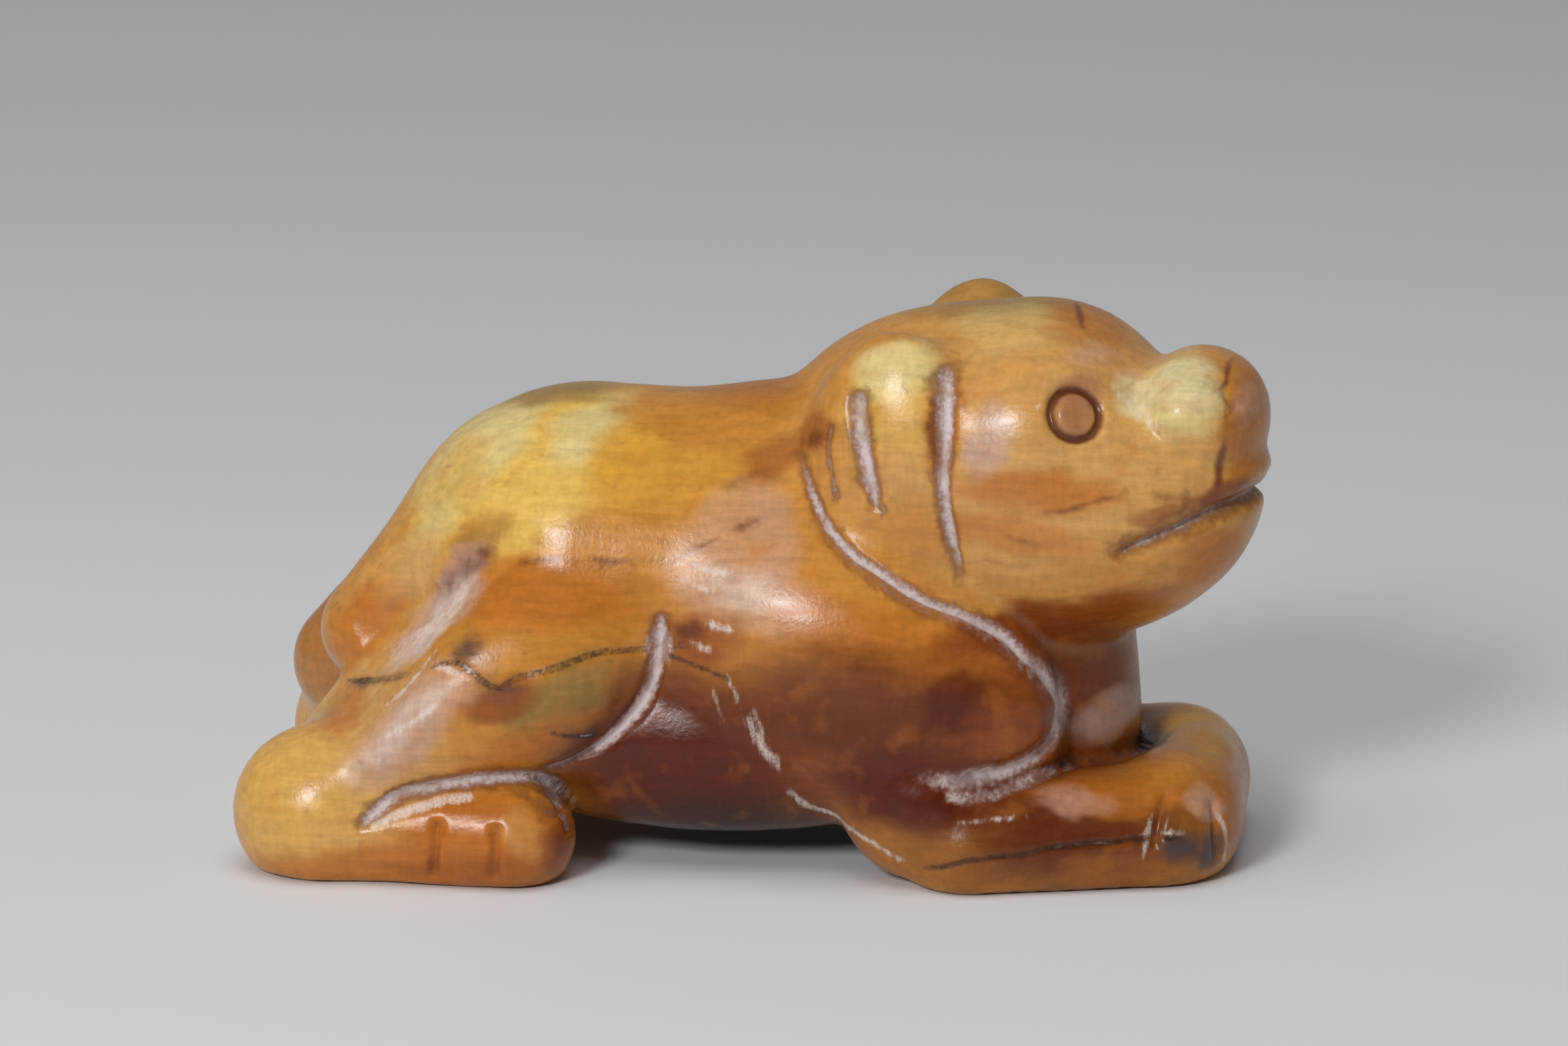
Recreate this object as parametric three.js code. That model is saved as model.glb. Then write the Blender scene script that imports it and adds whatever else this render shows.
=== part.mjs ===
// A recumbent chimera carved from one pebble of soapstone, in millimetres.
// +X runs to the snout, +Z up, and the feet rest on z = 0.
import * as THREE from "three";

// Driving dimensions, in millimetres and degrees.
const LENGTH = 64; // from the hind heels to the snout
const HEAD_TURN = 12; // the head looks this far to the figure's right
const LINE_WIDTH = 1.2; // the carved outlines of ears, shoulders and thighs
const LINE_DEPTH = 0.6;
const TOE_WIDTH = 0.7; // the fine lines between the toes
const TOE_DEPTH = 0.35;
const MOUTH_WIDTH = 1.3;
const MOUTH_DEPTH = 0.9;
const EYE_DIAMETER = 3.1; // along the middle of the drilled ring
const EYE_RING_WIDTH = 0.7;
const EYE_RING_DEPTH = 0.45;

// The pose and the masses are laid out in sixty-fourths of the length.
const UNIT = LENGTH / 64;
const MIDDLE = 0.6; // the middle of the length, where the origin lies, in the layout
const NECK_PIVOT = 12; // the head turns about an upright axis here
const FLOOR_ROUND = 0.8; // how softly the undersides turn into their flats
const CELL = LENGTH / 150; // of the grid that the skin is first found on
const TRIANGLES = 9400; // left on the finished carving
const NEAR_SKIN = LENGTH / 20; // lines are only carved this close to the skin
const LEAST_FACET = 1e-3 * UNIT ** 2; // twice the area that a facet keeps
const FLAT_WITHIN = 0.03 * UNIT; // skin this close to the floor lies on it
const RIGHT = -1;
const LEFT = 1;

const radians = THREE.MathUtils.degToRad;

// A mass is a function of x, y and z that gives roughly the distance to its skin, minus inside it.
function ellipsoid(centre, radii, pitch = 0) {
  const [cx, cy, cz] = centre.map((v) => v * UNIT);
  const [rx, ry, rz] = radii.map((v) => v * UNIT);
  const cos = Math.cos(radians(pitch));
  const sin = Math.sin(radians(pitch));
  return (x, y, z) => {
    const along = cos * (x - cx) + sin * (z - cz);
    const across = y - cy;
    const up = cos * (z - cz) - sin * (x - cx);
    const near = Math.hypot(along / rx, across / ry, up / rz);
    const slope = Math.hypot(along / rx ** 2, across / ry ** 2, up / rz ** 2) + 1e-9;
    return (near * (near - 1)) / slope;
  };
}

// A round limb that tapers from one end to the other, narrowed across by a share.
function limb(start, startRadius, end, endRadius, narrow = 1) {
  const [ax, ay, az] = start.map((v) => v * UNIT);
  const [dx, dy, dz] = end.map((v, i) => (v - start[i]) * UNIT);
  const square = dx * dx + dy * dy + dz * dz;
  return (x, y, z) => {
    const px = x - ax;
    const py = y - ay;
    const pz = z - az;
    const share = THREE.MathUtils.clamp((px * dx + py * dy + pz * dz) / square, 0, 1);
    const away = Math.hypot(px - share * dx, (py - share * dy) / narrow, pz - share * dz);
    const radius = UNIT * (startRadius + share * (endRadius - startRadius));
    return (away - radius) * Math.min(1, narrow);
  };
}

const onBothSides = (mass) => (x, y, z) => mass(x, Math.abs(y), z);

// Joins a mass to what is there already, with a fillet of about the given softness.
function melt(a, b, softness) {
  const overlap = Math.max(softness - Math.abs(a - b), 0) / softness;
  return Math.min(a, b) - (overlap ** 3 * softness) / 6;
}

// A mass cut off flat by a plane that faces the given way, at a reach from the origin, with a soft edge.
function pared(mass, facing, reach, softness) {
  const way = new THREE.Vector3(...facing).normalize();
  return (x, y, z) => -melt(-mass(x, y, z), reach * UNIT - way.x * x - way.y * y - way.z * z, softness * UNIT);
}

function joined(first, ...rest) {
  return (x, y, z) => rest.reduce((d, [mass, soft]) => melt(d, mass(x, y, z), soft * UNIT), first(x, y, z));
}

// Distance in the side view to a smooth line through the given points.
function toLine(points) {
  const spline = new THREE.SplineCurve(points.map(([x, z]) => new THREE.Vector2(x * UNIT, z * UNIT)));
  const line = spline.getPoints(4 * (points.length - 1));
  return (x, z) => {
    let nearest = Infinity;
    let share = 0;
    for (let i = 1; i < line.length; i++) {
      const a = line[i - 1];
      const dx = line[i].x - a.x;
      const dz = line[i].y - a.y;
      const t = THREE.MathUtils.clamp(((x - a.x) * dx + (z - a.y) * dz) / (dx * dx + dz * dz), 0, 1);
      const away = Math.hypot(x - a.x - t * dx, z - a.y - t * dz);
      if (away < nearest) {
        nearest = away;
        share = (i - 1 + t) / (line.length - 1);
      }
    }
    return [nearest, share];
  };
}

// A groove along a side-view line, on one flank or, with no side given, right across. It runs out at
// its ends over the given share of its length.
function groove(points, width, depth, { side = 0, fade = 0.12, open = false } = {}) {
  const distance = toLine(points);
  return (x, y, z) => {
    const flank = side ? THREE.MathUtils.smoothstep(y * side, 1.5 * UNIT, 3.5 * UNIT) : 1;
    if (!flank) return 0;
    const [away, share] = distance(x, z);
    const ending = Math.min(1, (open ? share : Math.min(share, 1 - share)) / fade);
    return depth * Math.exp(-(((2 * away) / width) ** 2)) * ending * flank;
  };
}

// The trunk, rump and the two chest masses.
const torso = joined(
  limb([-10, 0, 16.2], 12.4, [5, 0, 15.6], 12.1, 0.93),
  [limb([-13, 0, 17], 8.6, [-19, 0, 10], 7), 4],
  [onBothSides(ellipsoid([-1.5, 5.8, 7.8], [17, 6.4, 6])), 3],
  [limb([3, 0, 19], 9.8, [15.6, 0, 12.5], 8.4, 0.9), 4],
  [ellipsoid([14, 0, 7.6], [10.2, 8.4, 6]), 4],
);

// The haunches fold onto long feet and slope behind as the rump does. The broad tail lies down that
// slope, a little to the right, and the left haunch is the fuller one.
const HAUNCH = pared(ellipsoid([-17.2, 9.2, 10.6], [12.8, 6.6, 7.2], 25), [-0.69, 0.36, 0.63], 26.4, 2);
const hindquarters = joined(
  torso,
  [limb([-19, 5, 16.5], 4.5, [-26.5, 7.2, 8.8], 4.1), 3],
  [onBothSides(HAUNCH), 2],
  [onBothSides(ellipsoid([-25.6, 10.8, 3.6], [5.6, 5.2, 5.4])), 2.5],
  [limb([-15.6, -1, 22.4], 4.2, [-23.8, -2, 13.2], 3.3, 1.3), 1.4],
  [onBothSides(limb([-25, 11.8, 2.9], 3.8, [-13.6, 12.4, 2.7], 3.9)), 1.4],
);

// The forelegs lie forward and meet in one block of paws, which is hollow just before the chest.
const body = joined(
  hindquarters,
  [onBothSides(ellipsoid([7.8, 8.4, 12.8], [13, 5.8, 8], -22)), 2.5],
  [onBothSides(ellipsoid([11.5, 9.8, 5], [5, 4.4, 5])), 2.5],
  [onBothSides(limb([14.5, 10.2, 2.3], 4.3, [25, 7.6, 2.6], 4.3)), 1],
  [onBothSides(ellipsoid([26.8, 5.2, 3], [4.2, 6, 4.4])), 2],
  [ellipsoid([19.5, 0, 2.2], [6.2, 7, 3.8]), 2.5],
  [ellipsoid([27.8, 0, 3.2], [3.3, 7, 4.2]), 2],
);

// The head in its own frame, before it is turned: skull, brow, heavy jaw, pig's snout and lip.
const face = joined(
  ellipsoid([14.5, 0, 24.9], [13.3, 9.8, 9.4]),
  [ellipsoid([18.8, 0, 27.3], [7, 9.6, 7.2]), 3],
  [ellipsoid([20.2, 0, 21.6], [12, 9.6, 8], 12), 4],
  [ellipsoid([25.3, 0, 25], [6.4, 7.4, 5.2]), 3],
  [ellipsoid([28.2, 0, 28.8], [3.7, 6.4, 3.6]), 1.4],
  [ellipsoid([29.7, 0, 27.9], [2.7, 5.6, 3.6]), 1],
  [ellipsoid([29.2, 0, 24.9], [3.3, 5.6, 1.8]), 1.2],
);
const NEAR_EAR = ellipsoid([10.7, -7.5, 24.7], [5.5, 3.4, 8.9], -4);
const FAR_EAR = ellipsoid([11.8, 7.6, 25.4], [5.4, 3.3, 9], -4);
const head = joined(face, [NEAR_EAR, 3.5], [FAR_EAR, 3.5]);

const turnCos = Math.cos(radians(HEAD_TURN));
const turnSin = Math.sin(radians(HEAD_TURN));
const pivot = NECK_PIVOT * UNIT;

function toHead(x, y, z) {
  const forward = x - pivot;
  return [turnCos * forward - turnSin * y + pivot, turnSin * forward + turnCos * y, z];
}

function fromHead(x, y, z) {
  const forward = x - pivot;
  return [turnCos * forward + turnSin * y + pivot, turnCos * y - turnSin * forward, z];
}

const wide = { fade: 0.2 };

// Each broad hollow's line in the side view, its width and its depth.
const TAIL_VALLEY = [[[-13.4, 22.6], [-15.2, 19.8], [-18.2, 16.9], [-21.2, 14.9], [-24.2, 13.6]], 3.4, 0.7];
const SNOUT_CREASE = [[[25.2, 31], [26.6, 28.6], [29.4, 26.4]], 3, 0.35];

// The carved lines, as they run in the side view.
const MOUTH = [[24.8, 20.9], [28, 22.2], [30.6, 23.4], [34, 24.4]];
const NOSTRIL = [[30.4, 30.8], [31.6, 29.2]];
const MANE = [[3.4, 27], [5.9, 21.7], [10.8, 18.3], [15.5, 16.1], [19.1, 12.5], [19.7, 10.2], [18.6, 8.2], [15, 7.1], [10.8, 7.4]];
const THIGH = [[-4.4, 17], [-4.8, 13.3], [-5.8, 10.9], [-8.2, 8.4], [-12, 6.9]];
const FOOT = [[-10.4, 4.4], [-12.1, 6.4], [-15.2, 6.8], [-19.7, 5.9], [-23, 3.7]];
const EAR_FRONT = [[14.3, 32.2], [14.9, 29.2], [15, 24], [15.9, 18.4]];
const EAR_SLASH = [[9.2, 30.6], [9.8, 27.8], [11, 23]];
const TOES = [
  [[-17.6, 4.6], [-18.1, 0.6]],
  [[-14, 4.4], [-14.3, 0.6]],
  [[26.4, 6.2], [25.8, 2.4]],
  [[29.2, 5.6], [29.5, 1.4]],
];

function bothFlanks(lines, width, depth, options = {}) {
  return lines.flatMap((line) => [RIGHT, LEFT].map((side) => groove(line, width, depth, { ...options, side })));
}

const broadHollow = ([line, width, depth]) => bothFlanks([line], width * UNIT, depth * UNIT, wide);

const bodyGrooves = [
  ...broadHollow(TAIL_VALLEY),
  ...bothFlanks([MANE, THIGH, FOOT], LINE_WIDTH, LINE_DEPTH),
  ...bothFlanks(TOES, TOE_WIDTH, TOE_DEPTH, wide),
];
const headGrooves = [
  ...broadHollow(SNOUT_CREASE),
  ...bothFlanks([EAR_FRONT, EAR_SLASH], LINE_WIDTH, LINE_DEPTH, wide),
  ...bothFlanks([NOSTRIL], TOE_WIDTH, TOE_DEPTH, wide),
  groove(MOUTH, MOUTH_WIDTH, MOUTH_DEPTH, { open: true }),
];

const total = (grooves, x, y, z) => grooves.reduce((sum, depth) => sum + depth(x, y, z), 0);

function massing(x, y, z) {
  return melt(body(x, y, z), head(...toHead(x, y, z)), 1.6 * UNIT);
}

function outward(x, y, z) {
  const h = 0.02 * UNIT;
  return new THREE.Vector3(
    massing(x + h, y, z) - massing(x - h, y, z),
    massing(x, y + h, z) - massing(x, y - h, z),
    massing(x, y, z + h) - massing(x, y, z - h),
  ).normalize();
}

// A ring drilled square to the skin, at x and z in the head's own frame.
function drilledEye(x, z, side) {
  let outer = 20 * UNIT;
  while (massing(...fromHead(x * UNIT, side * outer, z * UNIT)) > 0) outer -= UNIT / 20;
  const centre = new THREE.Vector3(...fromHead(x * UNIT, side * outer, z * UNIT));
  const axis = outward(...centre.toArray());
  return (px, py, pz) => {
    const arm = new THREE.Vector3(px, py, pz).sub(centre);
    const height = arm.dot(axis);
    if (Math.abs(height) > EYE_DIAMETER) return 0;
    const away = Math.sqrt(Math.max(arm.lengthSq() - height ** 2, 0)) - EYE_DIAMETER / 2;
    return EYE_RING_DEPTH * Math.exp(-(((2 * away) / EYE_RING_WIDTH) ** 2));
  };
}

const eyes = [drilledEye(22.6, 29.4, RIGHT), drilledEye(22.7, 31, LEFT)];

// The finished figure, cut off flat at the floor.
function figure(x, y, z) {
  let skin = massing(x, y, z);
  if (Math.abs(skin) < NEAR_SKIN)
    skin += total(bodyGrooves, x, y, z) + total(headGrooves, ...toHead(x, y, z)) + total(eyes, x, y, z);
  return -melt(-skin, z, FLOOR_ROUND * UNIT);
}

const CORNERS = [0, 1, 2, 3, 4, 5, 6, 7].map((n) => [n & 1, (n >> 1) & 1, (n >> 2) & 1]);
const EDGES = CORNERS.flatMap((_, a) => [1, 2, 4].filter((bit) => !(a & bit)).map((bit) => [a, a | bit]));
const AXES = [[1, 0, 0], [0, 1, 0], [0, 0, 1]];
const plus = (a, b) => a.map((v, axis) => v + b[axis]);
const minus = (a, b) => a.map((v, axis) => v - b[axis]);

// The six faces of a grid cell, each as the four corners round it.
const FACES = AXES.flatMap((_, axis) => {
  const [u, v] = [1 << ((axis + 1) % 3), 1 << ((axis + 2) % 3)];
  return [0, 1 << axis].map((side) => [side, side + u, side + u + v, side + v]);
});
const edgeName = (a, b) => 8 * Math.min(a, b) + Math.max(a, b);

// Tells which of a cell's crossed edges lie on one sheet of skin. A face that the skin crosses twice
// keeps its inner corners apart, so that neighbouring cells agree.
function sheets(inside) {
  const sheet = new Map();
  for (const [a, b] of EDGES) if (inside[a] !== inside[b]) sheet.set(edgeName(a, b), edgeName(a, b));
  const join = (first, second) => {
    const [kept, gone] = [sheet.get(first), sheet.get(second)];
    for (const [name, value] of sheet) if (value === gone) sheet.set(name, kept);
  };
  for (const ring of FACES) {
    const crossed = [0, 1, 2, 3].map((n) => edgeName(ring[n], ring[(n + 1) % 4])).filter((name) => sheet.has(name));
    if (crossed.length === 2) join(...crossed);
    if (crossed.length === 4)
      for (const n of [0, 1, 2, 3]) if (inside[ring[n]]) join(crossed[(n + 3) % 4], crossed[n]);
  }
  return sheet;
}

// Wraps the skin in fine even facets: each grid cell gets one vertex on each sheet of skin that crosses
// it, and each crossed grid edge gets a four-sided face between the cells around that edge.
function evenSkin(low, high, step) {
  const counts = low.map((v, axis) => Math.ceil((high[axis] - v) / step) + 1);
  const at = ([i, j, k]) => (i * counts[1] + j) * counts[2] + k;
  const place = (node) => node.map((n, axis) => low[axis] + n * step);
  const values = new Float64Array(counts[0] * counts[1] * counts[2]);
  const nodes = [];
  // Goes through the grid block by block, and keeps the nodes of those blocks that may meet the skin.
  const BLOCK = 5;
  const reach = BLOCK * step;
  for (let i = 0; i < counts[0]; i += BLOCK)
    for (let j = 0; j < counts[1]; j += BLOCK)
      for (let k = 0; k < counts[2]; k += BLOCK) {
        const middle = figure(...place(plus([i, j, k], Array(3).fill((BLOCK - 1) / 2))));
        const near = Math.abs(middle) < 1.5 * reach;
        for (let n = 0; n < BLOCK ** 3; n++) {
          const node = plus([i, j, k], [n % BLOCK, Math.floor(n / BLOCK) % BLOCK, Math.floor(n / BLOCK ** 2)]);
          if (node.some((v, axis) => v >= counts[axis])) continue;
          values[at(node)] = near ? figure(...place(node)) : middle;
          if (near) nodes.push(node);
        }
      }

  const points = [];
  const known = new Map();
  function vertex(cell, node, next) {
    const value = CORNERS.map((corner) => values[at(plus(cell, corner))]);
    const sheet = sheets(value.map((v) => v < 0));
    const corner = (n) => CORNERS.findIndex((c) => minus(n, cell).every((v, axis) => v === c[axis]));
    const wanted = sheet.get(edgeName(corner(node), corner(next)));
    const key = 64 * at(cell) + wanted;
    if (known.has(key)) return known.get(key);
    const crossed = EDGES.filter(([a, b]) => sheet.get(edgeName(a, b)) === wanted);
    const point = new THREE.Vector3();
    for (const [a, b] of crossed) {
      const from = new THREE.Vector3(...CORNERS[a]);
      point.add(from.lerp(new THREE.Vector3(...CORNERS[b]), value[a] / (value[a] - value[b])));
    }
    points.push(point.multiplyScalar(step / crossed.length).add(new THREE.Vector3(...place(cell))));
    known.set(key, points.length - 1);
    return points.length - 1;
  }

  const triangles = [];
  for (const node of nodes)
    AXES.forEach((ahead, axis) => {
      const next = plus(node, ahead);
      if (next[axis] >= counts[axis] || values[at(node)] < 0 === values[at(next)] < 0) return;
      const [u, v] = [AXES[(axis + 1) % 3], AXES[(axis + 2) % 3]];
      const cells = [minus(minus(node, u), v), minus(node, v), node, minus(node, u)];
      const ring = cells.map((cell) => vertex(cell, node, next));
      const [a, b, c, d] = values[at(node)] < 0 ? ring : ring.reverse();
      if (points[a].distanceTo(points[c]) <= points[b].distanceTo(points[d])) triangles.push([a, b, c], [a, c, d]);
      else triangles.push([b, c, d], [b, d, a]);
    });
  return { points, triangles };
}

// How far a point is from a set of planes: the ten numbers of the sum of their squared distances.
function planeError(normal, at) {
  const d = -normal.dot(at);
  const [x, y, z] = normal.toArray();
  return [x * x, x * y, x * z, x * d, y * y, y * z, y * d, z * z, z * d, d * d];
}

const addError = (a, b) => a.map((v, i) => v + b[i]);

function errorAt(q, { x, y, z }) {
  const cross = q[1] * x * y + q[2] * x * z + q[5] * y * z + q[3] * x + q[6] * y + q[8] * z;
  return q[0] * x * x + q[4] * y * y + q[7] * z * z + 2 * cross + q[9];
}

// The point with the least error, drawn a little towards the middle of its edge so that it is never lost.
function bestPoint(q, middle) {
  const pull = 1e-3 * (q[0] + q[4] + q[7]);
  const m = new THREE.Matrix3().set(q[0] + pull, q[1], q[2], q[1], q[4] + pull, q[5], q[2], q[5], q[7] + pull);
  const side = new THREE.Vector3(-q[3], -q[6], -q[8]).addScaledVector(middle, pull);
  return side.applyMatrix3(m.invert());
}

// A queue that gives back the cheapest of its entries.
class Queue {
  entries = [];
  push(entry) {
    let at = this.entries.push(entry) - 1;
    for (let up = (at - 1) >> 1; at && this.entries[up].cost > entry.cost; up = (at - 1) >> 1) {
      this.entries[at] = this.entries[up];
      at = up;
    }
    this.entries[at] = entry;
  }
  pop() {
    const top = this.entries[0];
    const last = this.entries.pop();
    if (!this.entries.length) return top;
    let at = 0;
    for (let down = 1; down < this.entries.length; down = 2 * at + 1) {
      if (down + 1 < this.entries.length && this.entries[down + 1].cost < this.entries[down].cost) down++;
      if (this.entries[down].cost >= last.cost) break;
      this.entries[at] = this.entries[down];
      at = down;
    }
    this.entries[at] = last;
    return top;
  }
}

// Thins the facets out, the flattest first: each step draws the two ends of an edge together where the
// skin changes least, and leaves out any step that would fold a facet over or pinch the skin.
function thin({ points, triangles }, wanted) {
  const facetNormal = (corners) => {
    const [a, b, c] = corners;
    return b.clone().sub(a).cross(c.clone().sub(a));
  };
  const around = points.map(() => new Set());
  const errors = points.map(() => Array(10).fill(0));
  triangles.forEach((triangle, t) => {
    const corners = triangle.map((n) => points[n]);
    const normal = facetNormal(corners);
    const area = normal.length();
    const error = planeError(normal.normalize(), corners[0]).map((v) => v * area);
    for (const n of triangle) {
      around[n].add(t);
      errors[n] = addError(errors[n], error);
    }
  });
  const rounds = points.map(() => 0);
  const queue = new Queue();
  function offer(a, b) {
    const error = addError(errors[a], errors[b]);
    const place = bestPoint(error, points[a].clone().lerp(points[b], 0.5));
    queue.push({ a, b, place, cost: errorAt(error, place), round: rounds[a] + rounds[b] });
  }
  const neighbours = (n) => new Set([...around[n]].flatMap((t) => triangles[t]).filter((m) => m !== n));
  const keepsShape = (n, other, place) =>
    [...around[n]].every((t) => {
      if (triangles[t].includes(other)) return true;
      const before = facetNormal(triangles[t].map((m) => points[m]));
      const after = facetNormal(triangles[t].map((m) => (m === n ? place : points[m])));
      return before.normalize().dot(after.clone().normalize()) > 0.3 && after.length() > LEAST_FACET;
    });
  points.forEach((_, n) => neighbours(n).forEach((m) => n < m && offer(n, m)));
  let left = triangles.length;
  while (left > wanted && queue.entries.length) {
    const { a, b, place, round } = queue.pop();
    if (!around[a].size || !around[b].size || round !== rounds[a] + rounds[b]) continue;
    const shared = [...neighbours(a)].filter((n) => neighbours(b).has(n));
    if (shared.length !== 2 || !keepsShape(a, b, place) || !keepsShape(b, a, place)) continue;
    for (const t of around[b]) {
      if (triangles[t].includes(a)) {
        for (const n of triangles[t]) if (n !== b) around[n].delete(t);
        triangles[t] = null;
        left--;
      } else {
        triangles[t] = triangles[t].map((n) => (n === b ? a : n));
        around[a].add(t);
      }
    }
    around[b].clear();
    points[a] = place;
    errors[a] = addError(errors[a], errors[b]);
    rounds[a]++;
    for (const n of neighbours(a)) rounds[n]++;
    for (const n of neighbours(a)) for (const m of neighbours(n)) offer(n, m);
  }
  return { points, triangles: triangles.filter(Boolean) };
}

const low = [-34 * UNIT, -20 * UNIT, -2.5 * CELL];
const high = [36, 20, 38].map((v) => v * UNIT);
const skin = thin(evenSkin(low, high, CELL), TRIANGLES);

const used = [...new Set(skin.triangles.flat())];
const renamed = new Map(used.map((n, i) => [n, i]));
const placed = used.map((n) => skin.points[n]);
for (const point of placed) if (point.z < FLAT_WITHIN) point.z = 0;

const geometry = new THREE.BufferGeometry();
geometry.setAttribute("position", new THREE.Float32BufferAttribute(placed.flatMap((p) => p.toArray()), 3));
geometry.setIndex(skin.triangles.flat().map((n) => renamed.get(n)));
geometry.translate(-MIDDLE * UNIT, 0, 0);
geometry.computeVertexNormals();

const soapstone = new THREE.MeshStandardMaterial({ color: 0xb9722f, roughness: 0.28, metalness: 0 });
const carving = new THREE.Mesh(geometry, soapstone);
carving.name = "chimera_carving";

const chimera = new THREE.Group();
chimera.add(carving);

export default chimera;
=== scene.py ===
"""A small soapstone chimera: the carving's finished skin, its stone, and a plain studio round it."""

from functools import lru_cache
from math import cos, pi, radians, sin

import bmesh
import bpy
import numpy as np
from bpy.props import FloatProperty, FloatVectorProperty, PointerProperty
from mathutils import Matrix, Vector


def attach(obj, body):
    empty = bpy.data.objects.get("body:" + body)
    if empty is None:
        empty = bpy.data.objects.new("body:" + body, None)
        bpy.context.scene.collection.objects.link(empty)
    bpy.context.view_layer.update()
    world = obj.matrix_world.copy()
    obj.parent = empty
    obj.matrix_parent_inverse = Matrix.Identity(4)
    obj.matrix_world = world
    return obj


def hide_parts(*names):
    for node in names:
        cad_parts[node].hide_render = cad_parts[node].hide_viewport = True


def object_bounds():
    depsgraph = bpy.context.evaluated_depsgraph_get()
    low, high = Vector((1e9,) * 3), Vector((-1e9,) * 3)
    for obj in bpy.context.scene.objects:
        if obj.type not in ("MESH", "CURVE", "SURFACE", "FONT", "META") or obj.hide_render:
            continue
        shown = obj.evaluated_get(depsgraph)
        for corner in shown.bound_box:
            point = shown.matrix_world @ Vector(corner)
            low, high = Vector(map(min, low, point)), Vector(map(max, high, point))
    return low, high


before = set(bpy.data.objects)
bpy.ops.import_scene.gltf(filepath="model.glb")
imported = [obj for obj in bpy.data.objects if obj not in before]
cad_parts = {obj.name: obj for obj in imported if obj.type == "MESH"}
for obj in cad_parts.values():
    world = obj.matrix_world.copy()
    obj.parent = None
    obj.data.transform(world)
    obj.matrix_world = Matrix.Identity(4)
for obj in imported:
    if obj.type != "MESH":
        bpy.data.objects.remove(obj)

bl_info = {
    "name": "Soapstone Chimera",
    "version": (1, 0, 0),
    "blender": (4, 5, 0),
    "location": "3D View > Sidebar > Chimera",
    "description": "Carves and finishes a small recumbent stone beast and sets up its studio",
    "category": "Object",
}

LOW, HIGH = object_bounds()
NODE = "chimera_carving"
BODY = "root"

# The pose is laid out in sixty-fourths of the carving's nominal length, which is 63.48 of them with
# the ends of its feet rounded. MIDDLE is where the part's origin lies along the layout.
UNIT = (HIGH[0] - LOW[0]) / 63.48
MIDDLE = 0.6
HEAD_TURN = 12.0
NECK_PIVOT = 12.0
FLOOR_ROUND = 0.8
RIGHT, LEFT = -1, 1


def to_layout(points):
    return points / UNIT + np.array([MIDDLE, 0, 0])


def from_layout(points):
    return (points - np.array([MIDDLE, 0, 0])) * UNIT


# The masses of the figure, as they are laid out in the model.


def ellipsoid(centre, radii, pitch=0.0):
    """A mass: roughly the distance to its skin, minus inside it."""
    turn_cos, turn_sin = cos(radians(pitch)), sin(radians(pitch))

    def mass(x, y, z):
        x, y, z = x - centre[0], y - centre[1], z - centre[2]
        along, up = turn_cos * x + turn_sin * z, turn_cos * z - turn_sin * x
        near = np.sqrt((along / radii[0]) ** 2 + (y / radii[1]) ** 2 + (up / radii[2]) ** 2)
        slope = np.sqrt((along / radii[0] ** 2) ** 2 + (y / radii[1] ** 2) ** 2 + (up / radii[2] ** 2) ** 2)
        return near * (near - 1) / (slope + 1e-9)

    return mass


def limb(start, start_radius, end, end_radius, narrow=1.0):
    """A round limb that tapers from one end to the other, narrowed across by a share."""
    start, way = np.array(start, float), np.array(end, float) - np.array(start, float)

    def mass(x, y, z):
        x, y, z = x - start[0], y - start[1], z - start[2]
        share = np.clip((x * way[0] + y * way[1] + z * way[2]) / (way @ way), 0, 1)
        off = ((x - share * way[0]) ** 2, ((y - share * way[1]) / narrow) ** 2, (z - share * way[2]) ** 2)
        return (np.sqrt(sum(off)) - start_radius - share * (end_radius - start_radius)) * min(1, narrow)

    return mass


def on_both_sides(mass):
    return lambda x, y, z: mass(x, np.abs(y), z)


def melt(a, b, softness):
    """Joins two masses with a fillet of about the given softness."""
    overlap = np.maximum(softness - np.abs(a - b), 0) / softness
    return np.minimum(a, b) - overlap**3 * softness / 6


def pared(mass, facing, reach, softness):
    """A mass cut off flat by a plane that faces the given way, at a reach from the origin."""
    a, b, c = np.array(facing) / np.linalg.norm(facing)
    return lambda x, y, z: -melt(-mass(x, y, z), reach - a * x - b * y - c * z, softness)


def joined(first, *rest):
    def mass(x, y, z):
        skin = first(x, y, z)
        for part, softness in rest:
            skin = melt(skin, part(x, y, z), softness)
        return skin

    return mass


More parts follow.
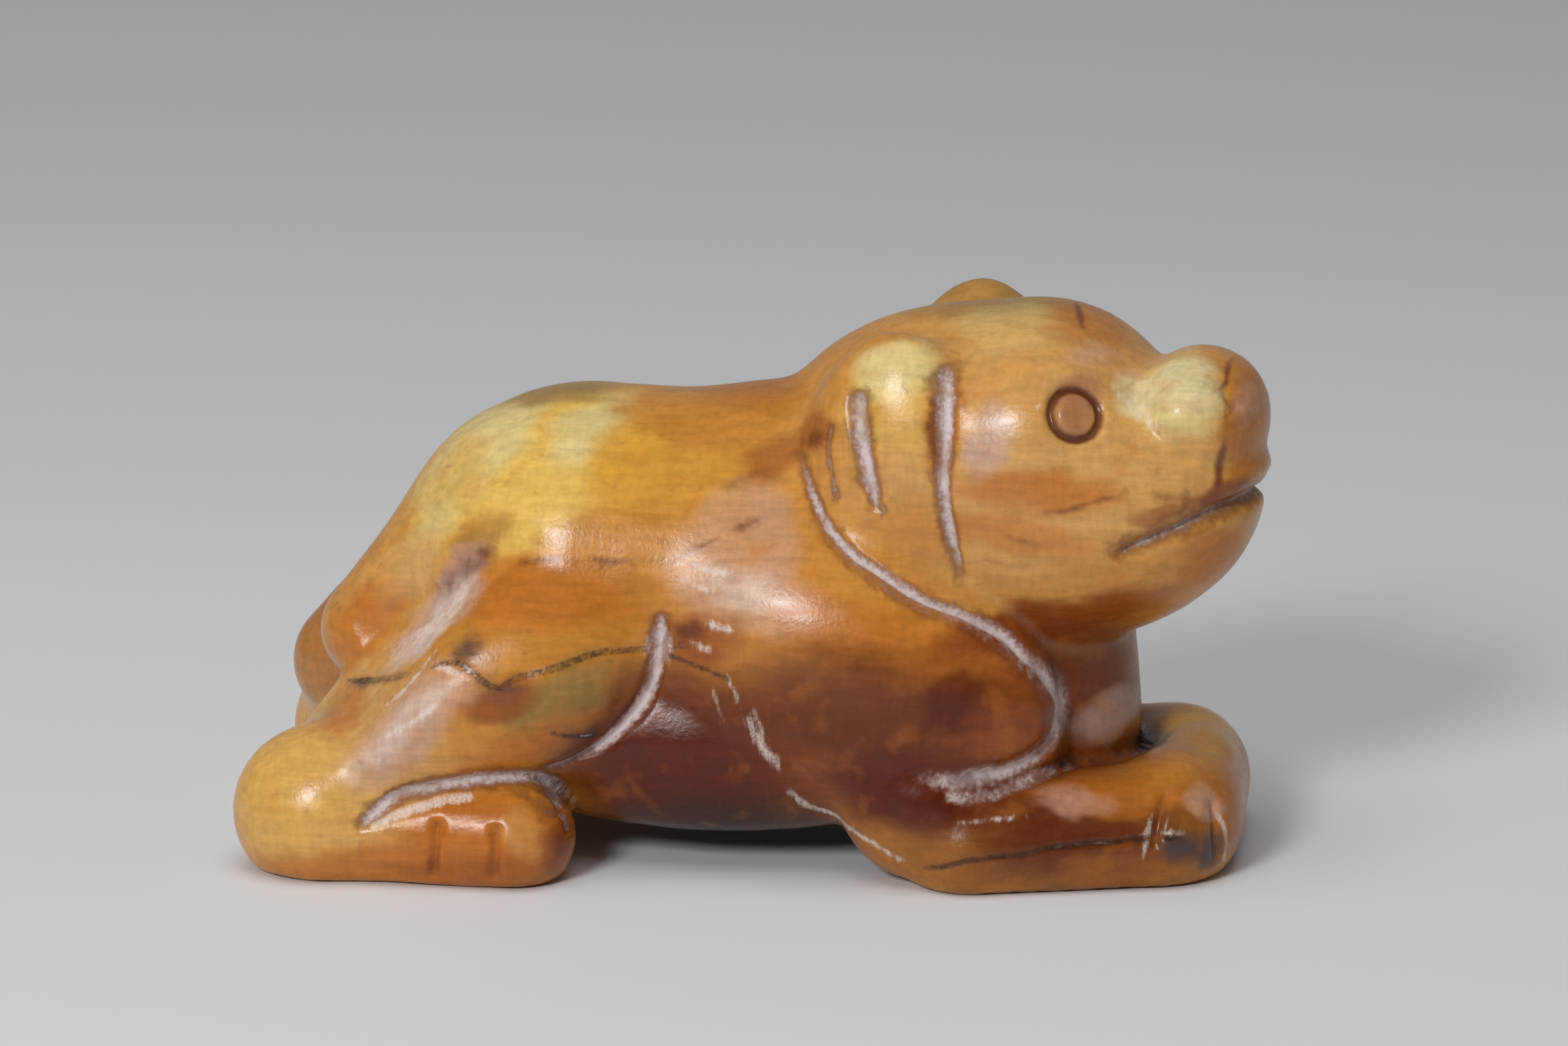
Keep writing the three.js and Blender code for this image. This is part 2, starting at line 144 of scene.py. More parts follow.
HAUNCH = pared(ellipsoid((-17.2, 9.2, 10.6), (12.8, 6.6, 7.2), 25), (-0.69, 0.36, 0.63), 26.4, 2)
BODY_MASS = joined(
    limb((-10, 0, 16.2), 12.4, (5, 0, 15.6), 12.1, 0.93),
    (limb((-13, 0, 17), 8.6, (-19, 0, 10), 7), 4),
    (on_both_sides(ellipsoid((-1.5, 5.8, 7.8), (17, 6.4, 6))), 3),
    (limb((3, 0, 19), 9.8, (15.6, 0, 12.5), 8.4, 0.9), 4),
    (ellipsoid((14, 0, 7.6), (10.2, 8.4, 6)), 4),
    (limb((-19, 5, 16.5), 4.5, (-26.5, 7.2, 8.8), 4.1), 3),
    (on_both_sides(HAUNCH), 2),
    (on_both_sides(ellipsoid((-25.6, 10.8, 3.6), (5.6, 5.2, 5.4))), 2.5),
    (limb((-15.6, -1, 22.4), 4.2, (-23.8, -2, 13.2), 3.3, 1.3), 1.4),
    (on_both_sides(limb((-25, 11.8, 2.9), 3.8, (-13.6, 12.4, 2.7), 3.9)), 1.4),
    (on_both_sides(ellipsoid((7.8, 8.4, 12.8), (13, 5.8, 8), -22)), 2.5),
    (on_both_sides(ellipsoid((11.5, 9.8, 5), (5, 4.4, 5))), 2.5),
    (on_both_sides(limb((14.5, 10.2, 2.3), 4.3, (25, 7.6, 2.6), 4.3)), 1),
    (on_both_sides(ellipsoid((26.8, 5.2, 3), (4.2, 6, 4.4))), 2),
    (ellipsoid((19.5, 0, 2.2), (6.2, 7, 3.8)), 2.5),
    (ellipsoid((27.8, 0, 3.2), (3.3, 7, 4.2)), 2),
)
HEAD_MASS = joined(
    ellipsoid((14.5, 0, 24.9), (13.3, 9.8, 9.4)),
    (ellipsoid((18.8, 0, 27.3), (7, 9.6, 7.2)), 3),
    (ellipsoid((20.2, 0, 21.6), (12, 9.6, 8), 12), 4),
    (ellipsoid((25.3, 0, 25), (6.4, 7.4, 5.2)), 3),
    (ellipsoid((28.2, 0, 28.8), (3.7, 6.4, 3.6)), 1.4),
    (ellipsoid((29.7, 0, 27.9), (2.7, 5.6, 3.6)), 1),
    (ellipsoid((29.2, 0, 24.9), (3.3, 5.6, 1.8)), 1.2),
    (ellipsoid((10.7, -7.5, 24.7), (5.5, 3.4, 8.9), -4), 3.5),
    (ellipsoid((11.8, 7.6, 25.4), (5.4, 3.3, 9), -4), 3.5),
)
TURN_COS, TURN_SIN = cos(radians(HEAD_TURN)), sin(radians(HEAD_TURN))


def to_head(x, y, z):
    x = x - NECK_PIVOT
    return TURN_COS * x - TURN_SIN * y + NECK_PIVOT, TURN_SIN * x + TURN_COS * y, z


def from_head(x, y, z):
    x = x - NECK_PIVOT
    return TURN_COS * x + TURN_SIN * y + NECK_PIVOT, TURN_COS * y - TURN_SIN * x, z


def massing(x, y, z):
    return melt(BODY_MASS(x, y, z), HEAD_MASS(*to_head(x, y, z)), 1.6)


def uncarved(x, y, z):
    """The figure before its lines are cut, flat at the floor."""
    return -melt(-massing(x, y, z), z, FLOOR_ROUND)


def slope_of(shape, points):
    """How a shape's distance grows along X, Y and Z at each point."""
    step = 0.02
    slopes = [shape(*(points + axis).T) - shape(*(points - axis).T) for axis in np.eye(3) * step]
    return np.stack(slopes, 1) / (2 * step)


def settle(points, passes=3):
    """Moves points onto the uncarved skin and returns them with its outward directions."""
    for _ in range(passes):
        slope = slope_of(uncarved, points)
        square = np.maximum((slope**2).sum(1), 0.25)
        step = np.clip(uncarved(*points.T) / square, -0.6, 0.6)
        points = points - slope * step[:, None]
    slope = slope_of(uncarved, points)
    return points, slope / np.linalg.norm(slope, axis=1, keepdims=True)


# The hand's unevenness.
DICE = np.random.default_rng(7)
LATTICE = DICE.random((32, 32, 32)) * 2 - 1


def uneven(points, size, offset=0):
    """A smooth random value from -1 to 1 that changes over about the given size."""
    spot = points / size + offset * 7.3
    corner = np.floor(spot).astype(int)
    share = spot - corner
    share = share * share * (3 - 2 * share)
    total = 0
    for dx in (0, 1):
        for dy in (0, 1):
            for dz in (0, 1):
                weight = np.abs((1 - dx - share[:, 0]) * (1 - dy - share[:, 1]) * (1 - dz - share[:, 2]))
                total = total + weight * LATTICE[tuple(((corner + (dx, dy, dz)) % 32).T)]
    return total


# Carved lines, cracks and scratches, and a few marks of painted shade and painted highlight. FILLS names
# what can lie in them or mark the skin.
FILLS = ("chalk", "crack", "vein_and_shade", "slate", "scuff_and_highlight", "ring")


def spline(points, steps=5):
    """A smooth line through a few points, as a run of short straights."""
    p = np.array(points, float)
    p = np.vstack([p[0], p, p[-1]])
    line = []
    for i in range(1, len(p) - 2):
        a, b = (p[i + 1] - p[i - 1]) / 2, (p[i + 2] - p[i]) / 2
        for t in np.arange(steps) / steps:
            bend = 3 * (p[i + 1] - p[i]) - 2 * a - b
            line.append(p[i] + a * t + bend * t**2 + (2 * (p[i] - p[i + 1]) + a + b) * t**3)
    return np.array(line + [p[-2]])


def to_line(spots, line, reach):
    """Distance from each spot to a line, and the share along it, for spots within reach."""
    inside = ((spots > line.min(0) - reach) & (spots < line.max(0) + reach)).all(1)
    near = np.where(inside)[0]
    away, share = np.full(len(spots), 99.0), np.zeros(len(spots))
    close = spots[near]
    best, along = np.full(len(near), 99.0), np.zeros(len(near))
    for i, (a, b) in enumerate(zip(line[:-1], line[1:])):
        way = b - a
        t = np.clip((close - a) @ way / (way @ way + 1e-12), 0, 1)
        gap = np.linalg.norm(close - a - t[:, None] * way, axis=1)
        closer = gap < best
        best = np.where(closer, gap, best)
        along = np.where(closer, (i + t) / (len(line) - 1), along)
    away[near], share[near] = best, along
    return away, share


def smooth(low, high, value):
    t = np.clip((value - low) / (high - low), 0, 1)
    return t * t * (3 - 2 * t)


TAIL_VALLEY = [(-13.4, 22.6), (-15.2, 19.8), (-18.2, 16.9), (-21.2, 14.9), (-24.2, 13.6)]
SNOUT_CREASE = [(25.2, 31), (26.6, 28.6), (29.4, 26.4)]
MOUTH = [(24.8, 20.9), (28, 22.2), (30.6, 23.4), (34, 24.4)]
NOSTRIL = [(30.4, 30.8), (31.6, 29.2)]
SHOULDER = [
    (3.4, 27), (5.9, 21.7), (10.8, 18.3), (15.5, 16.1), (19.1, 12.5),
    (19.7, 10.2), (18.6, 8.2), (15, 7.1), (10.8, 7.4),
]
THIGH = [(-4.4, 17), (-4.8, 13.3), (-5.8, 10.9), (-8.2, 8.4), (-12, 6.9)]
FOOT = [(-10.4, 4.4), (-12.1, 6.4), (-15.2, 6.8), (-19.7, 5.9), (-23, 3.7)]
EAR_FRONT = [(14.3, 32.2), (14.9, 29.2), (15, 24), (15.9, 18.4)]
EAR_SLASH = [(9.2, 30.6), (9.8, 27.8), (11, 23)]
TOES = [
    [(-17.6, 4.6), (-18.1, 0.6)],
    [(-14, 4.4), (-14.3, 0.6)],
    [(26.4, 6.2), (25.8, 2.4)],
    [(29.2, 5.6), (29.5, 1.4)],
]
EYES = [(22.6, 29.4, RIGHT), (22.7, 31.0, LEFT)]

# Finer lines, mostly on the figure's right, by points on or near the skin.
EAR_SECOND = [(7.8, -10, 28.5), (7.6, -10.3, 26.4), (7.9, -10.5, 25), (8.5, -10.7, 23.6)]
EAR_FORK = [(10.7, -11, 24.4), (11, -11, 23.8), (11.5, -11, 23)]
FOOT_FRONT = [(-13.2, -14.4, 6.2), (-11.3, -13.9, 5.6), (-10.3, -13.6, 4.4), (-9.9, -13.6, 3.2)]
FOOT_TOP = [(-22.2, -15.7, 3.9), (-20.1, -15.5, 4.7), (-17.7, -15, 5.4), (-15.4, -14.8, 5.7)]
FOREARM_TOP = [
    (12.9, -13.9, 6.5), (14.8, -13.1, 6.1), (17.1, -11.5, 6.4), (19, -9.6, 6.8), (21.1, -6.1, 6.6),
]
PAW_CURVE = [(29.6, -9.4, 4.7), (30.2, -8.9, 2.8), (29.9, -8.5, 1)]
HAUNCH_CRACK = [
    (-25.8, -5.6, 10.4), (-24.2, -7.6, 11), (-21.1, -11.5, 12.3), (-18.8, -13.8, 13.5), (-16.8, -14.9, 14.2),
    (-15.7, -15.3, 13.8), (-14.1, -15.5, 12.8), (-12.8, -15.2, 13.4), (-10.9, -14.7, 13.8),
    (-9.3, -14.1, 14.3),
    (-7.8, -13.2, 14.6), (-6, -11.9, 14.5), (-4.4, -11.4, 14.6), (-2.6, -11.9, 14.9), (-0.9, -12.6, 14.8),
]
LOW_CRACK = [(-11.2, -14.4, 9.9), (-9.3, -13, 9.2), (-7.7, -11.9, 9)]
CHIP_RAY = [(-4.4, -11.4, 14.3), (-2.9, -11.6, 13.8), (-1.2, -12.1, 13.4), (0.2, -12.6, 13)]
FORELEG_CRACK = [
    (11.2, -13.1, 1.5), (13, -14.2, 2), (14.9, -14.5, 2.5), (17.3, -13.9, 2.6), (19.4, -13.4, 3),
    (22.4, -12.6, 3.3), (25.7, -11.8, 3.4), (28.4, -11.1, 3.4),
]
LEG_SEAM = [
    (3.1, -11.8, 6.3), (4.5, -10.9, 4.6), (6, -11, 3.6), (7.5, -12.1, 3.4), (9.1, -13.1, 2.8),
    (11, -13.1, 1.7),
]
LOIN_CRACK = [(-8, 11, 21), (-9.6, 11.6, 18.6), (-9.2, 12, 16.2), (-10.6, 13, 14.4)]

# Cuts along the finer lines: what fills them, frame, run, width, depth.
FINE_CUTS = [
    ("chalk", "head", EAR_SECOND, 0.35, 0.12),
    ("chalk", "head", EAR_FORK, 0.5, 0.2),
    ("chalk", "body", FOOT_FRONT, 0.8, 0.25),
    ("scuff_and_highlight", "body", FOOT_TOP, 0.6, 0.12),
    ("chalk", "body", FOREARM_TOP, 1.0, 0.2),
    ("scuff_and_highlight", "body", PAW_CURVE, 0.3, 0.05),
    ("scuff_and_highlight", "body", LEG_SEAM, 0.4, 0.1),
    ("crack", "body", HAUNCH_CRACK, 0.35, 0.22),
    ("crack", "body", LOW_CRACK, 0.25, 0.08),
    ("crack", "body", CHIP_RAY, 0.25, 0.1),
    ("crack", "body", FORELEG_CRACK, 0.3, 0.16),
    ("crack", "body", LOIN_CRACK, 0.3, 0.12),
]

# Marks with no depth of their own: kind, frame, run, width, strength.
MARKS = [
    ("vein_and_shade", "head", [(30.1, 2.4, 31.6), (30.3, -1.9, 31.3), (30.9, -4.1, 29.6), (31.1, -4.7, 28)],
     0.35, 0.9),
    ("vein_and_shade", "head", [(31.1, -4.7, 28.4), (30.8, -4.8, 25.8), (30.6, -5.2, 24.4)], 0.6, 0.9),
    ("vein_and_shade", "head", [(19.2, -10, 23.4), (22.5, -9.5, 23.8), (24.3, -8.9, 24.3), (26.4, -8, 24.8)],
     0.35, 0.7),
    ("vein_and_shade", "head", [(26.4, -8, 24.8), (28.6, -7, 24.4), (30.3, -5.6, 24)], 0.7, 0.55),
    ("vein_and_shade", "head", [(17.6, -10, 22.4), (19.6, -9.9, 21.8), (21.6, -9.7, 21.4)], 0.5, 0.45),
    ("vein_and_shade", "head", [(16.6, -10, 20.6), (19, -9.6, 20.1), (22, -9.3, 20.5)], 0.5, 0.35),
    ("vein_and_shade", "head", [(19.6, 2.5, 34.3), (20.4, 0.2, 34.5), (21.3, -2.2, 34), (21.9, -3.5, 33.4)], 0.5, 0.8),
    ("vein_and_shade", "head", [(14, -8.4, 31.6), (14.1, -9.6, 29), (14.3, -10.2, 27), (14.4, -10.4, 25)], 1.0, 0.6),
    # Painted shade: dark red under the soft step at the back of the ear.
    ("vein_and_shade", "head", [(5.4, -9, 27.3), (6.4, -9.6, 27.1), (7.6, -10.1, 27.3)], 1.2, 0.7),
    ("vein_and_shade", "head", [(9.8, -10.4, 29.6), (10.5, -10.9, 28.2), (10.9, -11, 26.4)], 0.9, 0.45),
    ("vein_and_shade", "body", [(-14.6, -10.6, 19.2), (-11.9, -11, 19.8), (-9.6, -11, 20)], 0.45, 0.7),
    ("vein_and_shade", "body", [(-9.6, -11, 20), (-8.2, -10.9, 19.8), (-7, -11, 19.9), (-5.6, -10.9, 20.1)],
     0.5, 0.65),
    ("vein_and_shade", "body", [(-4.2, -10.9, 19.9), (-2.3, -10.6, 20.6), (-0.4, -10.3, 21.6)], 0.6, 0.5),
    ("vein_and_shade", "body", [(-0.8, -10.3, 21.4), (0.6, -10, 22), (1.9, -9.6, 22.7)], 0.8, 0.55),
    ("vein_and_shade", "body", [(-1.8, -8.9, 23.9), (0.4, -8.3, 24.6), (2.7, -7.4, 25.7)], 1.1, 0.45),
    ("vein_and_shade", "body", [(-14.4, -10.2, 21.2), (-15.6, -9.3, 19.6), (-17.6, -8, 17.4), (-20, -7, 15)],
     1.5, 0.8),
    ("vein_and_shade", "body", [(-3.8, -11.6, 15.4), (-2.7, -11.9, 15.8), (-1.2, -12.2, 15.9)], 0.9, 0.9),
    ("vein_and_shade", "body", [(-23, -15.2, 4.4), (-20.1, -15, 5.9), (-17.4, -14.6, 6.7), (-14, -14, 6.9)], 1.0, 0.6),
    ("vein_and_shade", "body", [(-17.5, -15.8, 4.5), (-17.9, -16, 2.4), (-18.4, -15.6, 0.4)], 0.6, 0.7),
    ("vein_and_shade", "body", [(-13.7, -16.2, 3.6), (-14.1, -16.2, 2), (-14.4, -15.6, 0.4)], 0.6, 0.4),
    ("vein_and_shade", "body", [(-10.4, -15, 4), (-9.9, -14.9, 2.6), (-10.3, -14.6, 1.4)], 1.0, 0.7),
    ("vein_and_shade", "body", [(-8.6, 4, 28.4), (-9.6, 8, 25.4), (-12.4, 10.6, 20.8)], 0.6, 0.6),
    ("vein_and_shade", "body", [(2.4, 13, 16), (6.4, 14.4, 13.4), (11, 14, 9.6)], 0.5, 0.6),
    ("slate", "body", [(-25.4, -6.2, 10.2), (-22, -10.6, 11.9), (-19, -13.6, 13.2)], 0.7, 0.7),
    ("slate", "body", [(-17.6, -14.7, 14), (-16, -14.9, 15.2), (-14.6, -14.6, 15.9)], 2.0, 0.75),
    ("slate", "body", [(-16, -15.2, 13.6), (-14.1, -15.5, 12.6), (-11.4, -15, 13.2)], 1.3, 0.6),
    ("slate", "body", [(-4.9, -11.3, 13.2), (-5.8, -11.3, 11), (-7, -11.8, 9.6), (-8.4, -12, 8.8)],
     0.9, 0.9),
    ("slate", "body", [(-11.6, -14.5, 9.8), (-9.3, -13.2, 9.4), (-7.6, -12, 9.3)], 1.0, 0.5),
    ("slate", "body", [(24.4, -2.8, 7), (25.6, -0.6, 6.6), (26.4, 1.8, 6.6)], 0.8, 0.7),
    ("slate", "body", [(25.9, -11.8, 2.9), (27.4, -11.2, 2.8), (28.9, -10.2, 2.6)], 1.6, 1.0),
    ("slate", "body", [(28.6, -10.4, 3.6), (29, -10.1, 2.2), (28.4, -10.3, 1)], 2.2, 1.0),
    # Pale along the haunch's ridge: partly rubbed polish, partly a painted highlight on the ridge.
    ("scuff_and_highlight", "body", [(-14.9, -10.3, 19.6), (-15.5, -11, 18.2), (-16.1, -12, 17.2), (-17.3, -12.6, 15.8)],
     0.5, 1.0),
    ("scuff_and_highlight", "body", [(-17.3, -12.6, 15.8), (-18.6, -13.3, 14), (-20, -13.9, 12.1), (-22.6, -13.2, 9.8)],
     0.5, 0.8),
    ("scuff_and_highlight", "body", [(-16, -10.6, 19), (-17.6, -10.2, 16.9), (-19.6, -9.4, 14.9), (-22.2, -8, 13.1)],
     1.7, 0.75),
    ("scuff_and_highlight", "head",
     [(24.1, -5.1, 30.8), (25.1, -5, 30.1), (26, -5.5, 29.3), (27.2, -6.3, 28.5), (28.2, -6.4, 27.6)],
     0.8, 0.8),
    ("scuff_and_highlight", "head", [(20, -8.7, 29.6), (20.8, -8.4, 30.1)], 0.4, 0.6),
    # Pale streak on the cheek: partly a scuff, partly a painted highlight.
    ("scuff_and_highlight", "head", [(16.9, -9.6, 30), (17.4, -9.6, 28.6), (17.8, -9.8, 27)], 0.6, 0.5),
    ("scuff_and_highlight", "body", [(-5.8, -11.8, 14.5), (-4.5, -11.4, 14.6), (-3.2, -11.7, 14.7)], 1.1, 1.0),
    ("scuff_and_highlight", "body", [(-4.8, -11.4, 13.2), (-4.4, -11.4, 14.6), (-4.1, -11.6, 16)], 1.2, 1.0),
    ("scuff_and_highlight", "body", [(-2.9, -11.8, 15), (-1.9, -12.2, 14.9), (-1.1, -12.5, 14.7)], 0.45, 0.9),
    ("scuff_and_highlight", "body", [(-4.3, -11.7, 19.2), (-2.4, -12, 18.6), (-0.6, -12.3, 18)], 0.3, 0.7),
    ("scuff_and_highlight", "body", [(-1.4, -12.1, 12.7), (-0.9, -12, 11.2), (-0.4, -12.1, 9.5)], 0.4, 0.5),
    ("scuff_and_highlight", "body",
     [(0.2, -12.7, 12.2), (1.1, -12.6, 10.4), (1.8, -12.4, 8.9), (2.7, -12.2, 7.6), (3.2, -11.8, 6.3)],
     0.7, 0.75),
    ("scuff_and_highlight", "body", [(1.1, -13, 11.9), (1.7, -12.8, 10.2), (2.4, -12.5, 8.8)], 0.4, 0.6),
    ("scuff_and_highlight", "body", [(-3.4, -11.4, 20.2), (-1.6, -11.6, 19.6), (0.4, -11.8, 19.4)], 0.4, 0.9),
    ("scuff_and_highlight", "body", [(-2, -12, 16.6), (-0.6, -12.4, 16.2), (0.8, -12.7, 15.9)], 0.5, 0.8),
    ("scuff_and_highlight", "body", [(-0.6, -12.4, 13.8), (0.2, -12.6, 12.4), (0.6, -12.6, 10.8)], 0.35, 0.7),
    ("scuff_and_highlight", "body", [(-18.6, -13.4, 13.4), (-17, -14.3, 13.4), (-15.9, -15, 13)], 0.5, 0.9),
    ("scuff_and_highlight", "body", [(-13.2, -15.2, 13.3), (-11.6, -14.9, 13.7), (-10.4, -14.5, 14)], 0.35, 0.8),
    ("scuff_and_highlight", "body", [(-21.6, -15, 9), (-19, -15.4, 10.6), (-17, -15.2, 12)], 0.5, 0.7),
    ("scuff_and_highlight", "body", [(13, -14, 4.6), (16, -13.6, 4.9), (19, -12.8, 5.2)], 0.4, 0.6),
    ("scuff_and_highlight", "body", [(24.4, -12.4, 3.6), (26.4, -11.8, 3.7), (28.2, -11, 3.7)], 0.35, 0.8),
    ("scuff_and_highlight", "body", [(25.9, -10.9, 5.9), (25.7, -11.7, 4.2), (25.3, -11.9, 2.8), (24.9, -11.8, 1.4)],
     0.35, 0.8),
]


@lru_cache(None)
def laid_on_skin(view, path):
    """A smooth line through a few points, moved onto the skin."""
    run = spline(path)
    if view == "head":
        run = np.stack(from_head(*run.T), 1)
    return settle(run)[0]


class Carving:
    """Adds up every cut at a set of points: how deep it goes there, and what fills or marks the stone."""

    def __init__(self, points, sizes):
        self.points = points
        self.sizes = sizes
        self.depth = np.zeros(len(points))
        self.marks = {name: np.zeros(len(points)) for name in FILLS + ("wide", "fine")}
        sway = np.stack([uneven(points, 1.6, 1), np.zeros(len(points)), uneven(points, 1.6, 2)], 1) * 0.1
        head = np.stack(to_head(*points.T), 1)
        self.views = {"body": points + sway, "head": head + sway}

    def raise_mark(self, name, amount):
        self.marks[name] = np.maximum(self.marks[name], amount)

    def line(
        self, view, path, width, depth, side=0, fade=0.12,
        is_open=False, mark="chalk", full=1.0, swell=(1, 1),
    ):
        """One gouged line, hollowed to a round bottom, that swells along its run and ends thin."""
        spots = self.views[view]
        away, share = to_line(spots[:, [0, 2]], spline(path), 1.5 * width * max(swell) + 0.5)
        width = width * (swell[0] + (swell[1] - swell[0]) * share)
        ending = np.clip((share if is_open else np.minimum(share, 1 - share)) / fade, 0, 1)
        flank = smooth(1.5, 3.5, spots[:, 1] * side) if side else 1
        cut = np.exp(-((2 * away / width) ** 2)) * ending * flank
        self.depth += depth * cut
        if mark:
            self.raise_mark(mark, np.clip(1.15 - away / width, 0, 1) * np.sqrt(ending) * flank * full)
        self.raise_mark("wide", (away < 0.5 * width + 0.45) * (ending * flank > 0))

    def fine_line(self, view, path, width, depth, mark, full=1.0):
        """A line that lies on the skin and is measured along it."""
        away, share = to_line(self.views["body"], laid_on_skin(view, tuple(path)), 2 * width + 0.5)
        ending = smooth(0, 0.1 if depth else 0.35, np.minimum(share, 1 - share))
        self.depth += depth * np.exp(-((2 * away / width) ** 2)) * ending
        reach = max(width, 0.5)
        self.raise_mark(mark, np.clip(0.5 + (0.5 * width - away) / reach, 0, 1) * ending * full)
        if width < 1:
            self.raise_mark("fine", (away < width + 0.15) * (ending > 0))

    def eye(self, x, z, side, diameter, width, depth):
        """A ring drilled square to the cheek."""
        depths = np.arange(20, 0, -0.05)
        ray = np.stack(from_head(x, side * depths, np.full(len(depths), z)), 1)
        centre = ray[np.argmax(massing(*ray.T) < 0)]
        axis = slope_of(massing, centre[None])[0]
        axis /= np.linalg.norm(axis)
        arm = self.points - centre
        height = arm @ axis
        radius = np.sqrt(np.maximum((arm**2).sum(1) - height**2, 0))
        ring = np.exp(-((2 * (radius - diameter / 2) / width) ** 2)) * (np.abs(height) < diameter)
        self.depth += depth * ring
        self.raise_mark("ring", ring)
        disc = (radius < diameter) * (np.abs(height) < diameter)
        self.raise_mark("wide", disc)
        self.raise_mark("fine", disc * (np.abs(radius - diameter / 2) < width))

    def all_cuts(self):
        s = self.sizes
        width, depth = s.line_width / UNIT, s.line_depth / UNIT
        toe_width, toe_depth = s.toe_width / UNIT, s.toe_depth / UNIT
        for side in (RIGHT, LEFT):
            self.line("body", TAIL_VALLEY, 3.4, 0.7, side, 0.4, mark=None)
            self.line("head", SNOUT_CREASE, 3.0, 0.35, side, 0.2, mark=None)
            for path, swell in ((SHOULDER, (0.5, 1.05)), (THIGH, (0.8, 0.55)), (FOOT, (0.9, 0.6))):
                self.line("body", path, width, depth, side, swell=swell)
            for path, swell in ((EAR_FRONT, (1, 0.4)), (EAR_SLASH, (1.05, 0.6))):
                self.line("head", path, width, depth, side, 0.2, swell=swell)
            self.line("head", NOSTRIL, toe_width, toe_depth, side, 0.2, mark="vein_and_shade", full=0.2)
            for path in TOES:
                self.line("body", path, toe_width, toe_depth, side, 0.2, mark="vein_and_shade", full=0.3)
        width, depth = s.mouth_width / UNIT, s.mouth_depth / UNIT
        self.line("head", MOUTH, width, depth, is_open=True, full=0.7, swell=(0.7, 1))
        for mark, view, path, width, depth in FINE_CUTS:
            self.fine_line(view, path, width, depth, mark)
        for mark, view, path, width, full in MARKS:
            self.fine_line(view, path, width, 0, mark, full)
        for x, z, side in EYES:
            self.eye(x, z, side, s.eye_diameter / UNIT, s.eye_ring_width / UNIT, s.eye_ring_depth / UNIT)


def remeshed(obj, voxel):
    """Gives an object an even skin of square faces about one voxel wide."""
    remesh = obj.modifiers.new("even_skin", "REMESH")
    remesh.mode = "VOXEL"
    remesh.voxel_size = voxel
    bpy.context.view_layer.update()
    mesh = bpy.data.meshes.new_from_object(obj.evaluated_get(bpy.context.evaluated_depsgraph_get()))
    obj.modifiers.clear()
    old, obj.data = obj.data, mesh
    bpy.data.meshes.remove(old)


def coordinates(mesh):
    points = np.zeros(len(mesh.vertices) * 3, np.float32)
    mesh.vertices.foreach_get("co", points)
    return points.reshape(-1, 3).astype(float)


def place(mesh, points):
    mesh.vertices.foreach_set("co", points.astype(np.float32).ravel())
    mesh.update()


def split_edges(mesh, sizes, closeness):
    """Splits the edges that lie in carved lines, so that their walls have faces enough."""
    bm = bmesh.new()
    bm.from_mesh(mesh)
    middles = np.array([(e.verts[0].co + e.verts[1].co) / 2 for e in bm.edges])
    carving = Carving(to_layout(middles), sizes)
    carving.all_cuts()
    near = carving.marks[closeness] > 0
    edges = [edge for edge, chosen in zip(bm.edges, near) if chosen]
    bmesh.ops.subdivide_edges(bm, edges=edges, cuts=1, use_grid_fill=True)
    bmesh.ops.triangulate(bm, faces=[face for face in bm.faces if len(face.verts) > 4])
    bm.to_mesh(mesh)
    bm.free()


def length(name, description, default):
    return FloatProperty(name=name, description=description, default=default, unit="LENGTH", precision=5)


class ChimeraSizes(bpy.types.PropertyGroup):
    skin_step: length("Skin step", "Width of the faces on plain skin", 0.00043)
    line_width: length("Line width", "Width of the gouged lines", 0.0012)
    line_depth: length("Line depth", "Depth of the gouged lines", 0.0006)
    toe_width: length("Toe width", "Width of the toe lines", 0.0007)
    toe_depth: length("Toe depth", "Depth of the toe lines", 0.00035)
    mouth_width: length("Mouth width", "Width of the mouth line", 0.0013)
    mouth_depth: length("Mouth depth", "Depth of the mouth line", 0.0009)
    eye_diameter: length("Eye", "Diameter of the drilled eyes", 0.0031)
    eye_ring_width: length("Eye ring", "Width of the drilled ring", 0.0007)
    eye_ring_depth: length("Ring depth", "Depth of the ring", 0.00045)


class CHIMERA_OT_carve(bpy.types.Operator):
    """Makes the beast's finished skin on the form of the solid"""

    bl_idname = "chimera.carve"
    bl_label = "Carve the Chimera"

    def execute(self, context):
        sizes = context.scene.chimera_sizes
        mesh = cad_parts[NODE].data.copy()
        mesh.name = "carved_chimera"
        bm = bmesh.new()
        bm.from_mesh(mesh)
        bmesh.ops.remove_doubles(bm, verts=bm.verts, dist=1e-6)
        bm.to_mesh(mesh)
        bm.free()
        carving = bpy.data.objects.new("carved_chimera", mesh)
        context.scene.collection.objects.link(carving)
        for voxel in (2 * sizes.skin_step, sizes.skin_step):
            remeshed(carving, voxel)
            points, _ = settle(to_layout(coordinates(carving.data)))
            place(carving.data, from_layout(points))
        for closeness in ("wide", "fine"):
            split_edges(carving.data, sizes, closeness)
        points, out = settle(to_layout(coordinates(carving.data)))
        skin = points
        for _ in range(2):
            cuts = Carving(skin, sizes)
            cuts.all_cuts()
            ripple = 0.05 * uneven(points, 3.5, 3) + 0.02 * uneven(points, 1.3, 4)
            skin = points - out * (cuts.depth + ripple)[:, None]
        skin[:, 2] = np.maximum(skin[:, 2], 0)
        place(carving.data, from_layout(skin))
        for name in FILLS:
            layer = carving.data.attributes.new(name, "FLOAT", "POINT")
            layer.data.foreach_set("value", cuts.marks[name].astype(np.float32))
        carving.data.polygons.foreach_set("use_smooth", [True] * len(carving.data.polygons))
        carving.data.materials.clear()
        carving.data.materials.append(soapstone(context.scene.chimera_colours))
        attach(carving, BODY)
        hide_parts(NODE)
        return {"FINISHED"}


# The stone.


